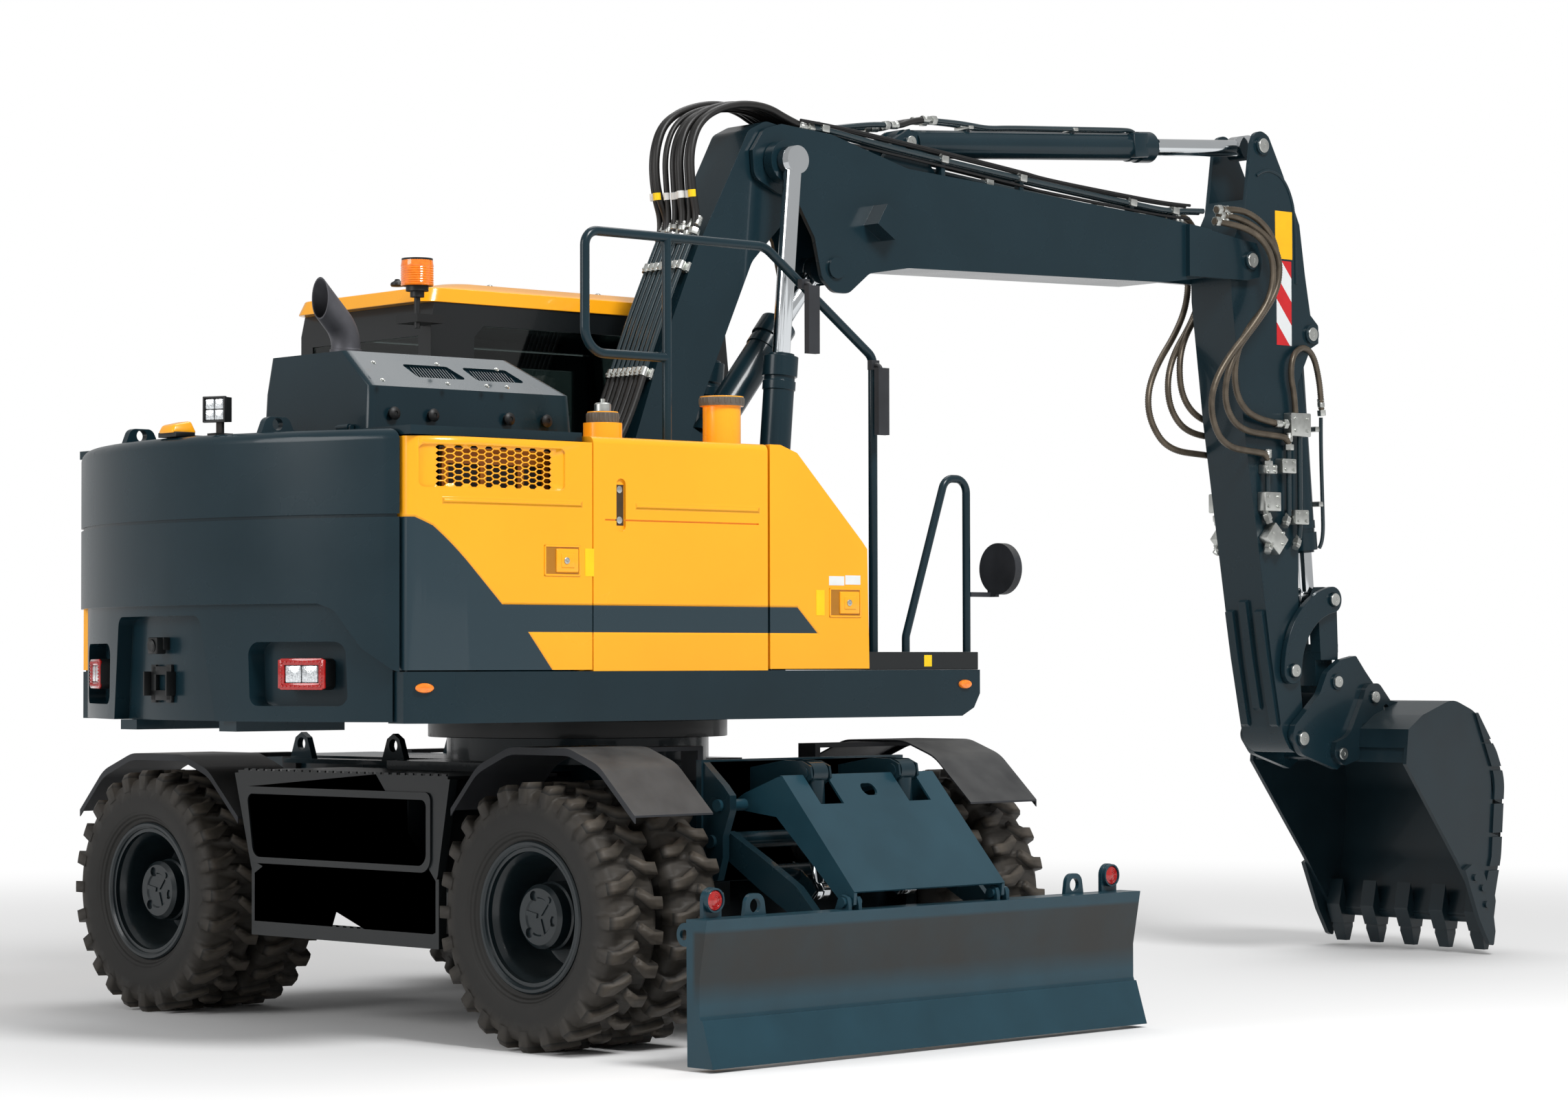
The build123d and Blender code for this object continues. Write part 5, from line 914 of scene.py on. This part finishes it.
for x, z in ((2300, 3975), (3000, 4030)):
    slab(bm, at(x, 0, z), (22, 60, 60), 3)
slab(bm, at(3434, 0, 4018) @ tipped(-4.5), (100, 150, 120), 8)
for i in range(8):
    a = math.radians(22.5 + 45 * i)
    hexagon(bm, Vector((3562, 60 * math.sin(a), 4024 + 60 * math.cos(a))), (1, 0, 0.08), 15, 9, i)
piece("arm_cylinder_gland", bm, teal, "arm_cylinder_barrel", BOOM)

# ---- hoses over the arm pin and lines on the arm -------------------------------------------
# Three hoses a side in grey-brown spiral wire guards loop from the boom's tip to unions and
# valve blocks on the arm, from which steel tubes and short stubs run down.
guard = surface("spiral_wire_guard", "#5c5347", 0.38, metal=0.55, drift=(20.0, 0.25), grain=(300.0, 0.0002))
routes = (
    ((3860, -168, 3726), (3960, -176, 3736), (4060, -200, 3726), (4154, -232, 3663), (4226, -240, 3560),
     (4232, -240, 3424), (4172, -226, 3272), (4040, -205, 3143), (3972, -188, 3005), (3978, -178, 2830),
     (4089, -172, 2720), (4294, -170, 2688), (4330, -170, 2688)),
    ((3880, -165, 3700), (3970, -172, 3704), (4081, -205, 3666), (4169, -246, 3596), (4229, -262, 3491),
     (4210, -258, 3341), (4110, -232, 3200), (3960, -212, 3044), (3891, -196, 2893), (3906, -182, 2746),
     (4023, -174, 2642), (4304, -170, 2626), (4370, -170, 2622), (4393, -168, 2590)),
    ((3850, -165, 3668), (3930, -176, 3664), (4040, -225, 3636), (4106, -268, 3576), (4155, -286, 3470),
     (4136, -282, 3307), (4027, -256, 3154), (3857, -232, 2983), (3769, -216, 2832), (3780, -204, 2686),
     (3891, -188, 2556), (4161, -172, 2539), (4215, -170, 2535), (4234, -168, 2505)),
)
both = [[(x, side * y, z) for x, y, z in route] for side in (1, -1) for route in routes]
lines("arm_pin_hoses", guard, "boom_upper", both, 17, ribs=2.2, gap=6.0,
      blend=("arm", (4040, 0, 3700), (3950, 0, 3050)))
fittings, lower_tubes = bmesh.new(), []
for side in (-1, 1):
    for route in routes:
        start = Vector((route[0][0], side * abs(route[0][1]), route[0][2]))
        ferrule(fittings, start + Vector((46, 0, 2)), (-1, 0, -0.05), 17)
piece("boom_tip_ferrules", fittings, zinc, "boom_upper", BOOM, 30)
fittings = bmesh.new()
for side in (-1, 1):
    y = side * 165
    ferrule(fittings, (4330, side * 170, 2688), (1, 0, 0), 17)
    ferrule(fittings, (4393, side * 168, 2600), (0, 0, -1), 16)
    ferrule(fittings, (4234, side * 168, 2512), (0, 0, -1), 16)
    for x, z, sx, sz in ((4462, 2688, 150, 118), (4248, 2297, 120, 96), (4279, 2113, 130, 106),
                         (4372, 2478, 104, 74),
                         (4238, 2458, 84, 46), (4466, 2224, 104, 74)):
        tilt = 42 if z == 2113 else 0
        slab(fittings, at(x, side * 163, z) @ tipped(tilt),
             (sx, 56, sz), 6)
        for dx in (-0.3, 0.3):
            for dz in (-0.26, 0.26):
                spot = Vector((x + dx * sx, side * 191, z + dz * sz))
                turned_shape(fittings, toward(spot, (0, side, 0)), ((0, 0), (8, 0), (8, 6), (4, 6), (0, 3)),
                             12)
    for x, z, dx, dz in ((4228, 2221, 0.3, -1), (4372, 2204, -0.5, -0.8), (4238, 2071, -0.5, -0.8),
                         (4450, 2096, -0.5, -0.8)):
        turned_shape(fittings, toward((x, side * 165, z), (dx, 0.2 * side, dz)),
                     ((12, -44), (15, -40), (15, -18), (22, -16), (24, -12), (24, 14), (19, 18), (19, 34),
                      (0, 36)), 6)
    lower_tubes += [[(4393, y, 2560), (4393, y, 2400), (4393, y, 2230)],
                    [(4476, y, 2632), (4476, y, 2400), (4476, y, 2150), (4470, y, 2120)],
                    [(4234, y, 2470), (4234, y, 2400), (4234, y, 2345)]]
piece("arm_fittings", fittings, zinc, "arm", BOOM, 30)
lines("arm_tubes", tube_paint, "arm", lower_tubes, 13)

# ---- bucket cylinder lines -----------------------------------------------------------------
# A short guarded hose loops from the arm's upper block to the pipe beside the bucket cylinder.
loops = [[(x, side * y, z) for x, y, z in ((4446, 165, 2740), (4440, 166, 2830), (4407, 168, 2930),
                                           (4424, 168, 3043),
                                           (4530, 150, 3091), (4640, 122, 3046), (4700, 104, 2926),
                                           (4722, 96, 2829),
                                           (4730, 92, 2780))] for side in (-1, 1)]
lines("bucket_cylinder_hoses", guard, "arm", loops, 16, ribs=2.0, gap=6.0,
      blend=("bucket_cylinder_barrel", (4560, 0, 3080), (4720, 0, 2860)))
pipes = [[(4730, side * 88, 2740), (4732, side * 84, 2600), (4748, side * 80, 2300), (4760, side * 74, 2110),
          (4755, side * 50, 2078)] for side in (-1, 1)]
lines("bucket_cylinder_pipes", tube_paint, "bucket_cylinder_barrel", pipes, 10)
fittings = bmesh.new()
for side in (-1, 1):
    ferrule(fittings, (4728, side * 92, 2790), (0.1, 0, -1), 15)
for x, z in ((4688, 2680), (4712, 2300)):
    slab(fittings, at(x + 20, 0, z), (40, 176, 26), 4)
piece("bucket_cylinder_fittings", fittings, zinc, "bucket_cylinder_barrel", BOOM, 30)

# ---- warning stripes and blank plate on the arm --------------------------------------------
# Retro-reflective red and white film in broad slanting bars, under a plain yellow plate.
stripes = surface("red_white_reflective_film", "#c4141c", 0.35, drift=(20.0, 0.05), level=0.5)
tree = stripes.node_tree
where = tree.nodes["Texture Coordinate"]
arm_x = along(tree, turned @ Vector((1, 0, 0)), where, origin)
arm_z = along(tree, Vector((0, 0, 1)), where, origin)
BAR_PITCH = 236.0
ramp = combine(tree, "ADD", combine(tree, "MULTIPLY", arm_x, 1.15), arm_z)
ramp = combine(tree, "MULTIPLY", ramp, 1 / BAR_PITCH)
ramp = add(tree, "ShaderNodeMath", links={0: ramp}, operation="FRACT")
repaint(tree, "#dcdfe0", combine(tree, "GREATER_THAN", ramp.outputs[0], 0.5))
ARM_FACE = 135.8
striped, plain = bmesh.new(), bmesh.new()
for side in (-1, 1):
    slab(striped, at(4398, side * ARM_FACE, 3299), (112, 1.2, 424))
    slab(plain, at(4398, side * ARM_FACE, 3641), (128, 1.2, 240))
piece("arm_stripes", striped, stripes, "arm", BOOM)
piece("arm_blank_plates", plain, surface("blank_amber_film", "#f6b800", 0.35, drift=(20.0, 0.04)), "arm",
      BOOM)
# Raised weld arc round the arm's head, on both sides: one bead with the ripples of its runs.
bm = bmesh.new()
for side in (-1, 1):
    arc = smooth_line([Vector((x, side * 134, z)) for x,
                       z in ((4196, 3926), (4240, 3952), (4300, 3960), (4387, 3934),
                             (4449, 3857), (4486, 3740), (4490, 3400))])
    sweep(bm, even(arc, 5.0), 9, 8, 1.0)
piece("arm_weld_arc", bm, teal, "arm", BOOM, 60)

# ---- operator's seat -----------------------------------------------------------------------
# Suspension seat with crowned foam cushions in woven cloth, a vinyl headrest, armrests and
# consoles with a joystick each, and a bellows round its base.
SEAT_Y = 750
cloth = surface("woven_seat_cloth", "#2a2b2e", 0.85, drift=(60.0, 0.15), grain=(1400.0, 0.0004), level=0.3)
vinyl_black = surface("black_grained_vinyl", "#15161a", 0.55, drift=(30.0, 0.1), grain=(700.0, 0.0003),
                      level=0.4)


def cushion(bm, place, size, round_by=4.0, pull=0.05, channels=0):
    """Crowned closed pad: sides pulled in between its corners, sewn channels across its top."""
    steps = 22
    grid = {}
    for face in range(6):
        for i in range(steps + 1):
            for j in range(steps + 1):
                a, b = 2 * i / steps - 1, 2 * j / steps - 1
                p = ((a, b, 1), (b, a, -1), (1, a, b), (-1, b, a), (b, 1, a), (a, -1, b))[face]
                n = sum(abs(c) ** round_by for c in p) ** (1 / round_by)
                q = Vector(c / n for c in p)
                soft = Vector((q.x * (1 - pull * (1 - q.y * q.y)), q.y * (1 - pull * (1 - q.x * q.x)),
                               q.z * (0.78 + 0.22 * (1 - q.x * q.x) * (1 - q.y * q.y))))
                if channels and q.z > 0.3:
                    soft.z -= 0.07 * math.exp(-(((q.x * channels) % 1.0 - 0.5) / 0.09) ** 2)
                spot = place @ Vector(soft[k] * size[k] / 2 for k in range(3))
                grid[face, i, j] = bm.verts.new(spot)
        for i in range(steps):
            for j in range(steps):
                bm.faces.new((grid[face, i, j], grid[face, i + 1, j], grid[face, i + 1, j + 1],
                              grid[face, i, j + 1]))
    bmesh.ops.remove_doubles(bm, verts=bm.verts, dist=0.05)
    bmesh.ops.recalc_face_normals(bm, faces=bm.faces)


lean_back = at(142, SEAT_Y, 2290) @ tipped(-84)
for name, place, size, channels, body_cloth in (
        ("seat_cushion", at(372, SEAT_Y, 1957), (486, 480, 112), 3, cloth),
        ("seat_backrest", lean_back, (640, 460, 110), 4, cloth),
        ("seat_headrest", lean_back @ at(318, 0, 10), (150, 280, 84), 0, vinyl_black)):
    bm = bmesh.new()
    cushion(bm, place, size, 4.0, 0.06, channels)
    pad = piece(name, bm, body_cloth, "upper", UPPER, 180)
    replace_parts(pad, "cab_interior")
bm = bmesh.new()
slab(bm, at(372, SEAT_Y, 1892), (470, 470, 34), 12)
for i in range(9):
    slab(bm, at(372, SEAT_Y, 1862 - 26 * i), (330 - 12 * (i % 2), 290 - 12 * (i % 2), 22), 8)
slab(bm, at(376, SEAT_Y, 1590), (330, 300, 130), 10)
for side in (-1, 1):
    slab(bm, at(330, SEAT_Y + side * 288, 2140) @ tipped(-4),
         (330, 74, 56), 20, 3)
    slab(bm, at(350, SEAT_Y + side * 296, 1990), (380, 96, 190), 24, 3)
    turned_shape(bm, at(520, SEAT_Y + side * 290, 2150),
                 ((0, 0), (38, 0), (34, 14), (18, 26), (11, 46), (14, 92), (20, 118), (23, 150), (17, 168),
                  (0, 172)), 20)
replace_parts(piece("seat_frame_and_consoles", bm, vinyl_black, "upper"), "cab_interior")

# ---- steering column and wheel -------------------------------------------------------------
# Leaning column in black plastic with a boot, a padded rim on three spokes, an instrument pod
# beside it and a mat under it.
bm = bmesh.new()
column_at = at(900, SEAT_Y, 1530) @ tipped(-4)
turned_shape(bm, column_at, ((0, 0), (96, 0), (92, 30), (64, 90), (52, 180), (48, 420), (56, 520), (50, 590),
                             (26, 624), (0, 626)), 28)
wheel_at = at(860, SEAT_Y, 2168) @ tipped(-4)
rim_line = [wheel_at @ Vector((175 * math.cos(2 * math.pi * i / 48), 175 * math.sin(2 * math.pi * i / 48), 0))
            for i in range(49)]
sweep(bm, rim_line, 14, 12)
turned_shape(bm, wheel_at, ((0, -14), (38, -14), (46, -4), (44, 12), (30, 19), (0, 20)), 24)
for i in range(3):
    a = math.radians(30 + 120 * i)
    slab(bm, wheel_at @ Matrix.Rotation(a, 4, "Z") @ at(104, 0, 0), (140, 30, 10), 4)
slab(bm, at(1015, 540, 1960) @ tipped(20, "Z"), (60, 190, 130), 16, 3)
slab(bm, at(900, SEAT_Y, 1541), (400, 700, 14), 4)
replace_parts(piece("steering_column", bm, vinyl_black, "upper"), "cab_interior")

# ---- aerial boot and roof bolts ------------------------------------------------------------
# A rubber boot for an aerial, and dome-head zinc bolts that hold the roof.
bm = bmesh.new()
turned_shape(bm, at(-519, 600, 3098), ((0, 34), (26, 34), (30, 40), (28, 50), (14, 58), (9, 66),
                                       (0, 66)), 20)
piece("aerial_boot", bm, rubber_black, "upper")
bm = bmesh.new()
for x, y in ((-171, 400), (429, 400), (-171, 1050), (429, 1050)):
    turned_shape(bm, at(x, y, 3134), ((0, 0), (19, 0), (19, 3), (14, 5), (12, 9), (6, 12), (0, 12)), 20)
piece("roof_bolts", bm, zinc, "upper")
